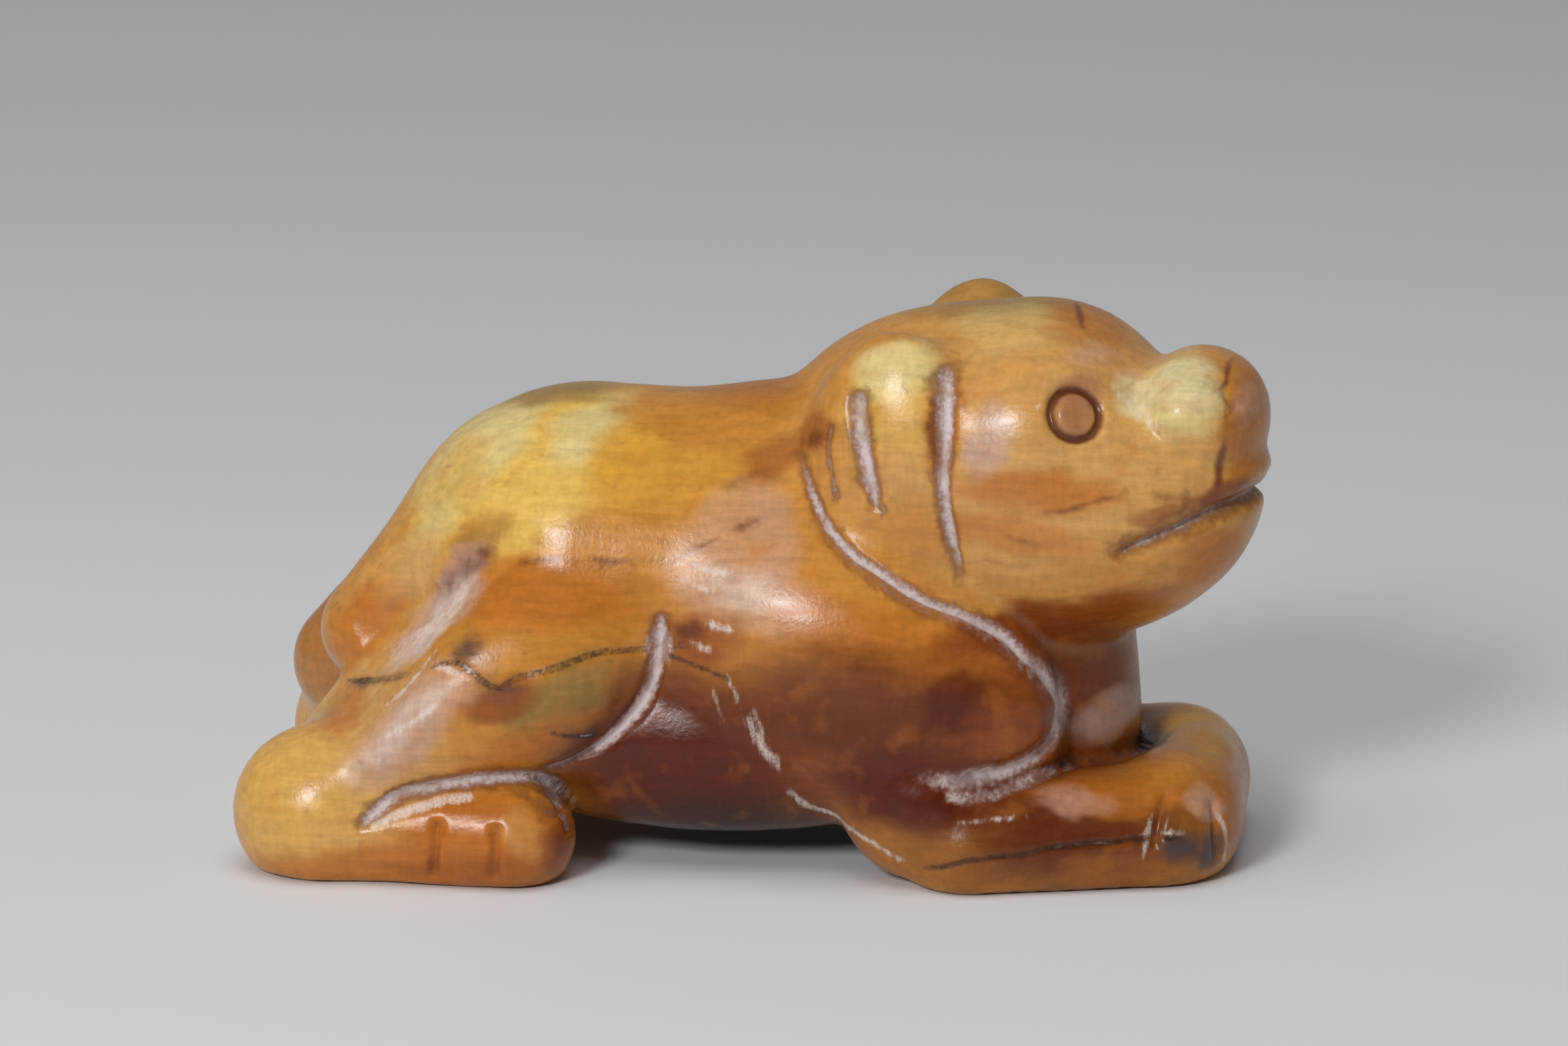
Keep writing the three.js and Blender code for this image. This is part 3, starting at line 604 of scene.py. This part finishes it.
def add(tree, kind, inputs=None, **settings):
    """A shader node with its settings and input values; an input may be another node's output."""
    made = tree.nodes.new(kind)
    for name, value in settings.items():
        setattr(made, name, value)
    for name, value in (inputs or {}).items():
        if isinstance(value, bpy.types.NodeSocket):
            tree.links.new(value, made.inputs[name])
        else:
            made.inputs[name].default_value = value
    return made


def vector(tree, operation, a, b, c=(0, 0, 0)):
    """One sum of positions."""
    return add(tree, "ShaderNodeVectorMath", {0: a, 1: b, 2: c}, operation=operation).outputs[0]


def noise(tree, position, scale, detail=3.0, stretch=None, roughness=0.55):
    """A noise node over a position, stretched along the axes if asked."""
    if stretch:
        position = vector(tree, "MULTIPLY", position, stretch)
    given = {"Vector": position, "Scale": scale, "Detail": detail, "Roughness": roughness}
    return add(tree, "ShaderNodeTexNoise", given)


def number(tree, operation, a, b=0.0, c=0.0, clamp=False):
    """One sum of numbers."""
    return add(tree, "ShaderNodeMath", {0: a, 1: b, 2: c}, operation=operation, use_clamp=clamp).outputs[0]


def between(tree, value, low, high, to_low=0.0, to_high=1.0):
    """A smooth rise from one value to another."""
    given = {"Value": value, "From Min": low, "From Max": high, "To Min": to_low, "To Max": to_high}
    return add(tree, "ShaderNodeMapRange", given, interpolation_type="SMOOTHSTEP").outputs[0]


def mixed(tree, share, a, b, blend="MIX"):
    """One colour laid over another; each may be a colour or a node's output."""
    made = add(tree, "ShaderNodeMix", data_type="RGBA", blend_type=blend)
    for socket, value in ((made.inputs["Factor"], share), (made.inputs[6], a), (made.inputs[7], b)):
        if isinstance(value, bpy.types.NodeSocket):
            tree.links.new(value, socket)
        else:
            socket.default_value = (*value, 1) if socket.type == "RGBA" else value
    return made.outputs[2]


def patch_group():
    """Node group: how fully a point lies in a soft-edged egg of colour, from its three half axes."""
    group = bpy.data.node_groups.new("stone_patch", "ShaderNodeTree")
    for name in ("Position", "Centre", "Along", "Across", "Up"):
        group.interface.new_socket(name=name, in_out="INPUT", socket_type="NodeSocketVector")
    group.interface.new_socket(name="Strength", in_out="INPUT", socket_type="NodeSocketFloat")
    group.interface.new_socket(name="Mask", in_out="OUTPUT", socket_type="NodeSocketFloat")
    given = add(group, "NodeGroupInput").outputs
    arm = vector(group, "SUBTRACT", given["Position"], given["Centre"])
    square = 0.0
    for name in ("Along", "Across", "Up"):
        share = add(group, "ShaderNodeVectorMath", {0: arm, 1: given[name]}, operation="DOT_PRODUCT")
        square = number(group, "MULTIPLY_ADD", share.outputs["Value"], share.outputs["Value"], square)
    mask = between(group, square, 1.7, 0.2, 0.0, given["Strength"])
    result = add(group, "NodeGroupOutput")
    group.links.new(mask, result.inputs["Mask"])
    return group


# Areas of colour, laid over one another, a few of them painted shade or painted highlights: colour, centre,
# half sizes, pitch, strength.
PATCHES = [
    ("yellow", (-13, 0, 25), (9.5, 13, 6), 36, 1.0),
    ("honey", (-1, 0, 24), (7, 16, 6), 0, 1.0),
    ("tan", (-24, 0, 6), (10, 20, 8), 30, 1.0),
    ("honey", (-12, -12, 17), (8, 5, 3), 8, 1.0),
    ("russet", (2, 0, 8), (12, 18, 8), 0, 1.0),
    ("russet", (16, 0, 10), (10, 18, 7), 0, 1.0),
    ("oxblood", (-3, -9, 6.6), (8, 10, 6.5), 0, 1.0),
    # Painted shade: near black over the underside of the belly.
    ("umber", (1, 0, 2.4), (10, 13, 4.8), 0, 1.0),
    ("oxblood", (20, 0, 3), (12, 20, 4), 0, 1.0),
    ("tan", (18, 0, 25), (14, 16, 10), 0, 1.0),
    # The rump and the back.
    ("pale", (-16, -4, 26), (6.6, 5, 2.3), 50, 0.95),
    ("gold", (-17.6, -5.4, 23.8), (3, 3, 1.8), 50, 0.5),
    ("pale", (-19.6, -6.6, 20.4), (3, 3, 1.4), 50, 0.45),
    ("pale", (-9.2, -6, 26.8), (4.6, 4.5, 1.6), 42, 0.9),
    ("yellow", (-12.4, -9.6, 22.8), (4, 3, 2.6), 30, 1.0),
    ("gold", (-7.2, -7.6, 25.4), (3, 4, 2), 40, 0.9),
    ("olive", (-10.6, 0, 29), (7, 3.4, 1.6), 4, 0.9),
    ("honey", (-2, -2, 28), (6, 6, 2.4), 0, 0.9),
    ("russet", (1, 0, 28.4), (4, 4, 1.4), 0, 0.4),
    ("gold", (-4.4, -8.8, 23.8), (5, 4, 2), 10, 0.5),
    ("honey", (-6, -10, 21.4), (5, 4, 1.6), 10, 0.7),
    # The tail and the hind leg.
    ("tan", (-22, -5, 16), (5, 5, 3), 50, 0.8),
    ("amber", (-23.4, -5.4, 15), (4, 4, 2), 50, 0.8),
    # Painted highlight: a lighter tan band along the top of the tail.
    ("tan", (-21, -5, 18.4), (2.6, 3, 1.4), 50, 0.6),
    ("russet", (-27, 4, 10), (4, 8, 7), 50, 0.55),
    ("russet", (-16, -10, 20.4), (2.6, 3, 1.6), 48, 0.5),
    ("rose", (-18.4, -9.6, 16.4), (4.8, 3.4, 1.5), 48, 1.0),
    ("scuff_and_highlight", (-18.6, -10.4, 15.8), (4.4, 3, 1), 48, 0.5),
    ("amber", (-11.4, -12.6, 17.6), (6, 4, 2.6), 0, 0.9),
    ("olive", (-10.2, -13.8, 11.6), (3.4, 3, 1.9), 20, 0.9),
    ("russet", (-13.4, -15.4, 11.8), (2.4, 3, 1.3), 10, 0.8),
    ("amber", (-12, -14.6, 8.4), (5, 4, 1.5), 24, 0.7),
    ("rose", (-19.4, -15.4, 10.2), (5.6, 3, 2), 40, 0.8),
    ("scuff_and_highlight", (-20, -15.4, 9.8), (4.6, 3, 0.9), 40, 0.35),
    ("yellow", (-27.6, -14, 5.6), (4, 5, 6), 30, 0.4),
    ("amber", (-25, -11, 10.4), (2.2, 4, 1.4), 30, 0.7),
    ("amber", (-15.6, -15.8, 3.2), (5.6, 3, 3.4), 0, 1.0),
    ("amber", (-22, -15.6, 1.2), (8, 4, 1.6), 0, 0.8),
    ("russet", (-14, -15.6, 1), (7, 4, 1.2), 0, 0.4),
    ("tan", (-12.4, -15.8, 3.6), (1.4, 3, 1.6), 0, 0.4),
    ("russet", (-10.2, -15, 2.8), (1.2, 3, 2), 0, 0.8),
    # The flank, the shoulder and the foreleg.
    # The flank's rose veil and pale rub: partly the stone's pink, partly a painted highlight.
    ("rose", (0.6, -12, 18.4), (5, 4, 2.4), -20, 0.5),
    ("scuff_and_highlight", (0.8, -12, 18.8), (3.4, 3, 1.1), -20, 0.3),
    ("rose", (0, -10, 22.4), (3.4, 4, 1.6), 20, 0.35),
    ("rose", (2.6, -10, 21), (1.6, 4, 2.6), 0, 0.4),
    ("russet", (2.6, -7.8, 25.4), (2.4, 3, 1.2), 30, 0.55),
    ("russet", (-2.4, -12, 15.6), (3, 3, 1.8), 0, 0.8),
    ("amber", (7, -13.6, 15.6), (5, 4, 2.2), -30, 0.75),
    ("amber", (12, -13, 15.4), (5, 4, 1.6), -26, 0.7),
    ("oxblood", (9, -13.6, 11.2), (7.6, 5, 4), -10, 0.8),
    ("oxblood", (14.6, -13, 12), (2.6, 4, 2), 0, 0.8),
    ("russet", (17, -12, 10.4), (2.4, 4, 2.4), 0, 0.8),
    ("oxblood", (11.4, -13.8, 6.4), (6, 5, 2.6), 0, 1.0),
    ("oxblood", (21.4, -5, 12.4), (3.4, 6, 4), 0, 0.6),
    ("rose", (22.6, -5, 9.4), (2.6, 5, 1.8), 0, 0.7),
    # Painted shade: near black in the hollow between the chest and the paws.
    ("umber", (25.3, 0.4, 6.7), (1.8, 3, 1.2), 0, 0.95),
    ("amber", (24, -11.4, 5.6), (6, 4, 1.2), 0, 0.65),
    ("rose", (21.2, -11.8, 5.4), (2.6, 3, 1), 0, 0.45),
    ("gold", (28.6, 1.6, 6.6), (2.6, 7, 1.6), 0, 0.9),
    ("amber", (30.4, -4, 4.4), (2, 7, 3), 0, 0.7),
    ("rose", (28.8, -9.4, 5), (1.4, 2, 1), 0, 0.6),
    ("amber", (24, -11.8, 1), (4, 4, 1.1), 0, 0.25),
    # The head.
    ("gold", (14, -2, 34), (6, 6, 2.4), 0, 0.4),
    ("olive", (15, 0, 35), (7, 6, 1.8), 0, 0.8),
    ("pale", (9.4, -9.6, 31.8), (2.6, 3, 1.7), 0, 0.95),
    ("yellow", (9.4, -10.6, 29.2), (3.4, 3, 2), 0, 0.5),
    ("amber", (12.4, -10.2, 28), (1.2, 3, 4), 0, 0.6),
    ("honey", (10.6, -10.8, 21.8), (4, 4, 2.4), 0, 0.6),
    # Painted shade under the soft step at the back of the ear.
    ("russet", (5, -8.6, 27.2), (1.6, 3, 1.3), 0, 0.6),
    ("olive", (13.6, 7.6, 34), (6, 4.4, 3.4), 0, 0.6),
    ("pale", (16.4, -5, 33.6), (4, 4, 1.6), 0, 0.35),
    ("amber", (21, -2.6, 34), (2.4, 5, 2), -30, 0.7),
    ("rose", (22.4, -8, 32), (2, 3, 1), 0, 0.5),
    ("rose", (15.2, -10.8, 27.6), (1.4, 3, 2.4), 0, 0.8),
    ("rose", (20.8, -9.8, 29.4), (1.6, 3, 1.6), 0, 0.4),
    ("russet", (20.8, -9.8, 29.4), (1.5, 3, 1.5), 0, 0.55),
    ("amber", (18.4, -11.2, 24.6), (5.4, 3, 1.5), 4, 0.8),
    ("amber", (17, -11.2, 21.6), (5, 3, 1.4), 0, 0.6),
    ("honey", (22, -10.4, 18.6), (6, 5, 2.4), 20, 0.5),
    ("russet", (19, -9, 16), (8, 8, 1.5), 10, 0.95),
    ("amber", (29.4, -6, 19.4), (2.4, 6, 3), 50, 0.8),
    ("pale", (24.2, -7.8, 29.8), (1.4, 3, 1), -20, 0.8),
    ("pale", (27, -7.6, 30.2), (2.4, 5, 2.2), 0, 1.0),
    ("scuff_and_highlight", (27.4, -7, 30.6), (2, 3, 1.6), 0, 0.2),
    ("scuff_and_highlight", (24.4, -7.4, 30), (1.8, 3, 1.1), -30, 0.2),
    ("tan", (27.4, -9, 27), (2.8, 4, 1.8), 0, 0.6),
    ("amber", (31.2, -5, 28.6), (1.6, 9, 3.8), 0, 0.75),
    ("rose", (31, -5.4, 29.8), (1.2, 3, 1.4), 0, 0.5),
    ("russet", (29.8, -7.4, 24.4), (1.8, 4, 1.1), 20, 0.9),
    ("russet", (26.4, -10, 24.2), (2.6, 3, 0.7), 16, 0.6),
]


# How far the areas' edges wander, and how deep the finest relief on the polish goes.
CLOUD_DRIFT = 4.0
WISP_DRIFT = 1.4
POLISH_RELIEF = 0.00006


def soapstone(colours):
    """Waxy soapstone, banded from pale yellow to red-brown, with chalk and dust in its lines, and some
    painted shade and painted highlights.
    """
    material = bpy.data.materials.new("soapstone")
    material.use_nodes = True
    tree = material.node_tree
    shader = tree.nodes["Principled BSDF"]
    place_of = add(tree, "ShaderNodeTexCoord").outputs["Object"]
    spot = add(
        tree, "ShaderNodeMapping", {"Vector": place_of, "Location": (MIDDLE, 0, 0), "Scale": (1 / UNIT,) * 3}
    ).outputs[0]

    # Clouds and wisps that blur the areas' edges.
    cloud = noise(tree, spot, 0.13, 2.0).outputs["Color"]
    wisp = noise(tree, spot, 0.55, 2.0, (0.6, 1, 1.3)).outputs["Color"]
    drift = vector(tree, "MULTIPLY_ADD", cloud, (CLOUD_DRIFT,) * 3, spot)
    drift = vector(tree, "MULTIPLY_ADD", wisp, (WISP_DRIFT,) * 3, drift)
    drift = vector(tree, "SUBTRACT", drift, ((CLOUD_DRIFT + WISP_DRIFT) / 2,) * 3)
    group = patch_group()
    colour = tuple(colours.honey)
    for name, centre, reach, pitch, strength in PATCHES:
        rise, run = sin(radians(pitch)), cos(radians(pitch))
        given = {
            "Position": drift,
            "Centre": centre,
            "Along": (run / reach[0], 0, rise / reach[0]),
            "Across": (0, 1 / reach[1], 0),
            "Up": (-rise / reach[2], 0, run / reach[2]),
            "Strength": strength,
        }
        patch = tree.nodes.new("ShaderNodeGroup")
        patch.node_tree = group
        for socket, value in given.items():
            if isinstance(value, bpy.types.NodeSocket):
                tree.links.new(value, patch.inputs[socket])
            else:
                patch.inputs[socket].default_value = value
        colour = mixed(tree, patch.outputs["Mask"], colour, tuple(getattr(colours, name)))

    # Brushed grain, long in the stone's bedding, and small spots.
    grain = noise(tree, spot, 1.5, 3.0, (0.22, 0.8, 1.2), 0.65).outputs["Fac"]
    brushed = noise(tree, spot, 2.2, 3.0, (1.3, 0.8, 0.25), 0.65).outputs["Fac"]
    mottle = noise(tree, spot, 0.45, 3.0).outputs["Fac"]
    colour = mixed(tree, 1.0, colour, between(tree, grain, 0.3, 0.7, 0.9, 1.08), "MULTIPLY")
    colour = mixed(tree, 1.0, colour, between(tree, brushed, 0.3, 0.7, 0.93, 1.06), "MULTIPLY")
    colour = mixed(tree, between(tree, mottle, 0.52, 0.75, 0.0, 0.3), colour, tuple(colours.amber))

    # Marks that follow the carving.
    marks = {name: add(tree, "ShaderNodeAttribute", attribute_name=name).outputs["Fac"] for name in FILLS}
    fine = noise(tree, spot, 3.4, 2.0).outputs["Fac"]
    speck = noise(tree, spot, 6.5, 2.0).outputs["Fac"]
    ragged = number(tree, "MULTIPLY_ADD", noise(tree, spot, 1.3, 3.0).outputs["Fac"], 1.1, -0.55)
    streaky = number(tree, "MULTIPLY_ADD", brushed, 1.1, -0.55)

    def spread(name, low, high, roughened):
        """A mark's mask with ragged edges."""
        return between(tree, number(tree, "MULTIPLY_ADD", marks[name], 1.0, roughened), low, high)

    # Dark red seams, and painted shade under the back of the ear.
    vein_and_shade = spread("vein_and_shade", 0.1, 0.8, number(tree, "MULTIPLY", ragged, 0.5))
    colour = mixed(tree, number(tree, "MULTIPLY", vein_and_shade, 0.85), colour, tuple(colours.vein_and_shade))
    slate = spread("slate", 0.05, 0.95, number(tree, "MULTIPLY", ragged, 0.6))
    colour = mixed(tree, number(tree, "MULTIPLY", slate, 0.85), colour, tuple(colours.slate))
    ring = spread("ring", 0.2, 0.9, number(tree, "MULTIPLY", ragged, 0.5))
    colour = mixed(tree, number(tree, "MULTIPLY", ring, 0.85), colour, tuple(colours.oxblood))
    # Pale scuffs, and painted highlights on the haunch's ridge, the flank and the cheek.
    scuff_and_highlight = spread("scuff_and_highlight", 0.22, 0.8, streaky)
    scuff_and_highlight = number(tree, "MULTIPLY", scuff_and_highlight, between(tree, speck, 0.3, 0.55, 0.35, 1.0))
    colour = mixed(tree, number(tree, "MULTIPLY", scuff_and_highlight, 0.75), colour, tuple(colours.scuff_and_highlight))
    edge = spread("chalk", 0.05, 0.6, ragged)
    colour = mixed(tree, number(tree, "MULTIPLY", edge, 0.55), colour, tuple(colours.vein_and_shade))
    uneven_fill = number(tree, "MULTIPLY_ADD", fine, 0.3, number(tree, "MULTIPLY_ADD", ragged, 0.4, -0.15))
    filled = spread("chalk", 0.42, 0.8, uneven_fill)
    core = spread("chalk", 0.5, 1.05, number(tree, "MULTIPLY_ADD", fine, 0.9, -0.45))
    dusty = mixed(tree, core, tuple(colours.grit), tuple(colours.chalk))
    worn = between(tree, noise(tree, spot, 0.5, 2.0).outputs["Fac"], 0.36, 0.56, 0.4, 0.95)
    colour = mixed(tree, number(tree, "MULTIPLY", filled, worn), colour, dusty)
    gap = spread("crack", 0.25, 0.6, number(tree, "MULTIPLY_ADD", fine, 0.4, -0.2))
    dash = between(tree, noise(tree, spot, 1.0, 2.0).outputs["Fac"], 0.46, 0.54)
    dash = number(tree, "MULTIPLY", dash, spread("crack", 0.5, 0.7, 0.0))
    colour = mixed(tree, number(tree, "MULTIPLY", gap, 0.85), colour, tuple(colours.umber))
    colour = mixed(tree, dash, colour, tuple(colours.scuff_and_highlight))
    tree.links.new(colour, shader.inputs["Base Color"])

    # Polish, duller where the stone is rubbed or chalky.
    dull = number(tree, "MAXIMUM", scuff_and_highlight, filled, clamp=True)
    roughness = between(tree, grain, 0.2, 0.8, 0.2, 0.34)
    roughness = number(tree, "MULTIPLY_ADD", dull, 0.35, roughness, clamp=True)
    tree.links.new(roughness, shader.inputs["Roughness"])
    pits = number(tree, "MULTIPLY_ADD", speck, number(tree, "MULTIPLY_ADD", dull, 1.6, 0.12), fine)
    height = number(tree, "MULTIPLY_ADD", brushed, 0.5, pits)
    bump = add(tree, "ShaderNodeBump", {"Height": height, "Strength": 0.25, "Distance": POLISH_RELIEF})
    tree.links.new(bump.outputs[0], shader.inputs["Normal"])
    shader.inputs["Specular IOR Level"].default_value = 0.36
    shader.inputs["Subsurface Weight"].default_value = 0.3
    shader.inputs["Subsurface Radius"].default_value = (1.0, 0.45, 0.15)
    shader.inputs["Subsurface Scale"].default_value = 0.0015
    return material


def stone_colour(name, description, default):
    return FloatVectorProperty(name=name, description=description, subtype="COLOR", default=default)


class ChimeraColours(bpy.types.PropertyGroup):
    pale: stone_colour("Pale", "Greenish pale yellow of the rump's bands and the snout", (0.72, 0.58, 0.24))
    yellow: stone_colour("Yellow", "Clear yellow of the back", (0.78, 0.5, 0.11))
    gold: stone_colour("Gold", "Deeper translucent gold", (0.68, 0.34, 0.035))
    honey: stone_colour("Honey", "Honey brown between the areas", (0.58, 0.24, 0.035))
    tan: stone_colour("Tan", "Tan of the cheek and the hind leg", (0.66, 0.37, 0.12))
    amber: stone_colour("Amber", "Burnt orange", (0.5, 0.155, 0.016))
    olive: stone_colour("Olive", "Dull olive brown of the thigh", (0.34, 0.19, 0.045))
    russet: stone_colour("Russet", "Red-brown of the shoulder", (0.27, 0.06, 0.009))
    oxblood: stone_colour("Oxblood", "Dark red-brown of the belly", (0.1, 0.011, 0.0015))
    # This near black paints cracks, and also painted shade under the belly and in the hollow between the
    # chest and the paws.
    umber: stone_colour("Umber", "Nearly black brown of cracks", (0.03, 0.011, 0.006))
    rose: stone_colour("Rose", "Pinkish grey veil", (0.58, 0.36, 0.27))
    # This dark red paints seams, and also painted shade under the back of the ear's step.
    vein_and_shade: stone_colour("Vein", "Dark red seams in the stone", (0.15, 0.03, 0.009))
    slate: stone_colour("Slate", "Blue-grey stain round the cracks", (0.05, 0.042, 0.05))
    # This pale colour paints scuffs, and also painted highlights along the haunch's ridge, on the flank and
    # on the cheek.
    scuff_and_highlight: stone_colour("Rub", "Pale scuffs on the polish", (0.82, 0.72, 0.64))
    chalk: stone_colour("Chalk", "Pale dust in the lines", (0.72, 0.6, 0.57))
    grit: stone_colour("Grit", "Darker dust in the lines", (0.36, 0.22, 0.19))


def angle(name, description, degrees):
    return FloatProperty(name=name, description=description, default=radians(degrees), subtype="ANGLE")


class StudioSizes(bpy.types.PropertyGroup):
    distance: length("Distance", "Camera to the carving", 0.42)
    azimuth: angle("Azimuth", "Turn of the view", 6)
    elevation: angle("Elevation", "Height of the view", 12.5)
    field: length("Field", "Width seen at the carving", 0.09804)


class CHIMERA_OT_studio(bpy.types.Operator):
    """Lays the pale floor, the backdrop, the lights and the camera"""

    bl_idname = "chimera.studio"
    bl_label = "Set Up the Studio"

    def execute(self, context):
        scene = context.scene
        studio = scene.chimera_studio
        bm = bmesh.new()
        radius, half_width, front, back, height = 0.35, 1.2, -1.0, 0.1, 1.2
        row = [bm.verts.new((-half_width, front, 0)), bm.verts.new((half_width, front, 0))]
        edge = bm.edges.new(row)
        made = bmesh.ops.extrude_edge_only(bm, edges=[edge])
        tip = [v for v in made["geom"] if isinstance(v, bmesh.types.BMVert)]
        bmesh.ops.translate(bm, verts=tip, vec=(0, back - front, 0))
        edge = [e for e in made["geom"] if isinstance(e, bmesh.types.BMEdge) and set(e.verts) <= set(tip)]
        turned = bmesh.ops.spin(
            bm, geom=tip + edge, cent=(0, back, radius), axis=(1, 0, 0), angle=pi / 2, steps=16,
            use_duplicate=False,
        )
        tip = [v for v in turned["geom_last"] if isinstance(v, bmesh.types.BMVert)]
        edge = [e for e in turned["geom_last"] if isinstance(e, bmesh.types.BMEdge)]
        made = bmesh.ops.extrude_edge_only(bm, edges=edge)
        tip = [v for v in made["geom"] if isinstance(v, bmesh.types.BMVert)]
        bmesh.ops.translate(bm, verts=tip, vec=(0, 0, height))
        bmesh.ops.recalc_face_normals(bm, faces=bm.faces)
        mesh = bpy.data.meshes.new("sweep")
        bm.to_mesh(mesh)
        bm.free()
        mesh.polygons.foreach_set("use_smooth", [True] * len(mesh.polygons))
        sweep = bpy.data.objects.new("sweep", mesh)
        scene.collection.objects.link(sweep)
        paper = bpy.data.materials.new("paper")
        paper.use_nodes = True
        tree = paper.node_tree
        place_of = add(tree, "ShaderNodeSeparateXYZ", {0: add(tree, "ShaderNodeTexCoord").outputs["Object"]})
        # Painted shade: the paper darkens from Y 0.06 to 0.33, towards the back and up the sweep, where the
        # light falls off.
        painted_falloff = between(tree, place_of.outputs["Y"], 0.06, 0.33)
        tone = mixed(tree, painted_falloff, (0.79, 0.8, 0.82), (0.4, 0.39, 0.385))
        tree.links.new(tone, tree.nodes["Principled BSDF"].inputs["Base Color"])
        tree.nodes["Principled BSDF"].inputs["Roughness"].default_value = 0.7
        mesh.materials.append(paper)
        aim = Vector((0.0013, 0, 0.02))
        for name, way, distance, size, power in (
            ("key_light", (-0.33, -0.94, 0.52), 0.7, 0.16, 2.4),
            ("top_light", (-0.05, -0.25, 1), 0.6, 0.5, 1.6),
        ):
            light = bpy.data.lights.new(name, "AREA")
            light.size = size
            light.energy = power
            lamp = bpy.data.objects.new(name, light)
            way = Vector(way).normalized()
            lamp.location = aim + way * distance
            lamp.visible_glossy = name == "key_light"
            lamp.rotation_euler = way.to_track_quat("Z", "Y").to_euler()
            scene.collection.objects.link(lamp)
        camera = bpy.data.cameras.new("camera")
        camera.sensor_width = 36
        camera.lens = 36 * studio.distance / studio.field
        viewer = bpy.data.objects.new("camera", camera)
        turn, rise = studio.azimuth, studio.elevation
        back_way = Vector((sin(turn) * cos(rise), -cos(turn) * cos(rise), sin(rise)))
        viewer.location = aim + back_way * studio.distance
        viewer.rotation_euler = back_way.to_track_quat("Z", "Y").to_euler()
        scene.collection.objects.link(viewer)
        scene.camera = viewer
        world = bpy.data.worlds.new("studio")
        world.use_nodes = True
        world.node_tree.nodes["Background"].inputs["Color"].default_value = (0.84, 0.86, 0.88, 1)
        world.node_tree.nodes["Background"].inputs["Strength"].default_value = 0.16
        scene.world = world
        scene.view_settings.view_transform = "Standard"
        return {"FINISHED"}


class CHIMERA_PT_panel(bpy.types.Panel):
    """Lists the makers in the sidebar"""

    bl_label = "Soapstone Chimera"
    bl_idname = "CHIMERA_PT_panel"
    bl_space_type = "VIEW_3D"
    bl_region_type = "UI"
    bl_category = "Chimera"

    def draw(self, context):
        self.layout.operator(CHIMERA_OT_carve.bl_idname)
        self.layout.operator(CHIMERA_OT_studio.bl_idname)


CLASSES = (ChimeraSizes, ChimeraColours, StudioSizes, CHIMERA_OT_carve, CHIMERA_OT_studio, CHIMERA_PT_panel)


def register():
    for made in CLASSES:
        bpy.utils.register_class(made)
    bpy.types.Scene.chimera_sizes = PointerProperty(type=ChimeraSizes)
    bpy.types.Scene.chimera_colours = PointerProperty(type=ChimeraColours)
    bpy.types.Scene.chimera_studio = PointerProperty(type=StudioSizes)


def unregister():
    del bpy.types.Scene.chimera_studio
    del bpy.types.Scene.chimera_colours
    del bpy.types.Scene.chimera_sizes
    for made in reversed(CLASSES):
        bpy.utils.unregister_class(made)


def main():
    register()
    bpy.ops.chimera.carve()
    bpy.ops.chimera.studio()
    bpy.context.view_layer.update()


if __name__ == "__main__":
    main()
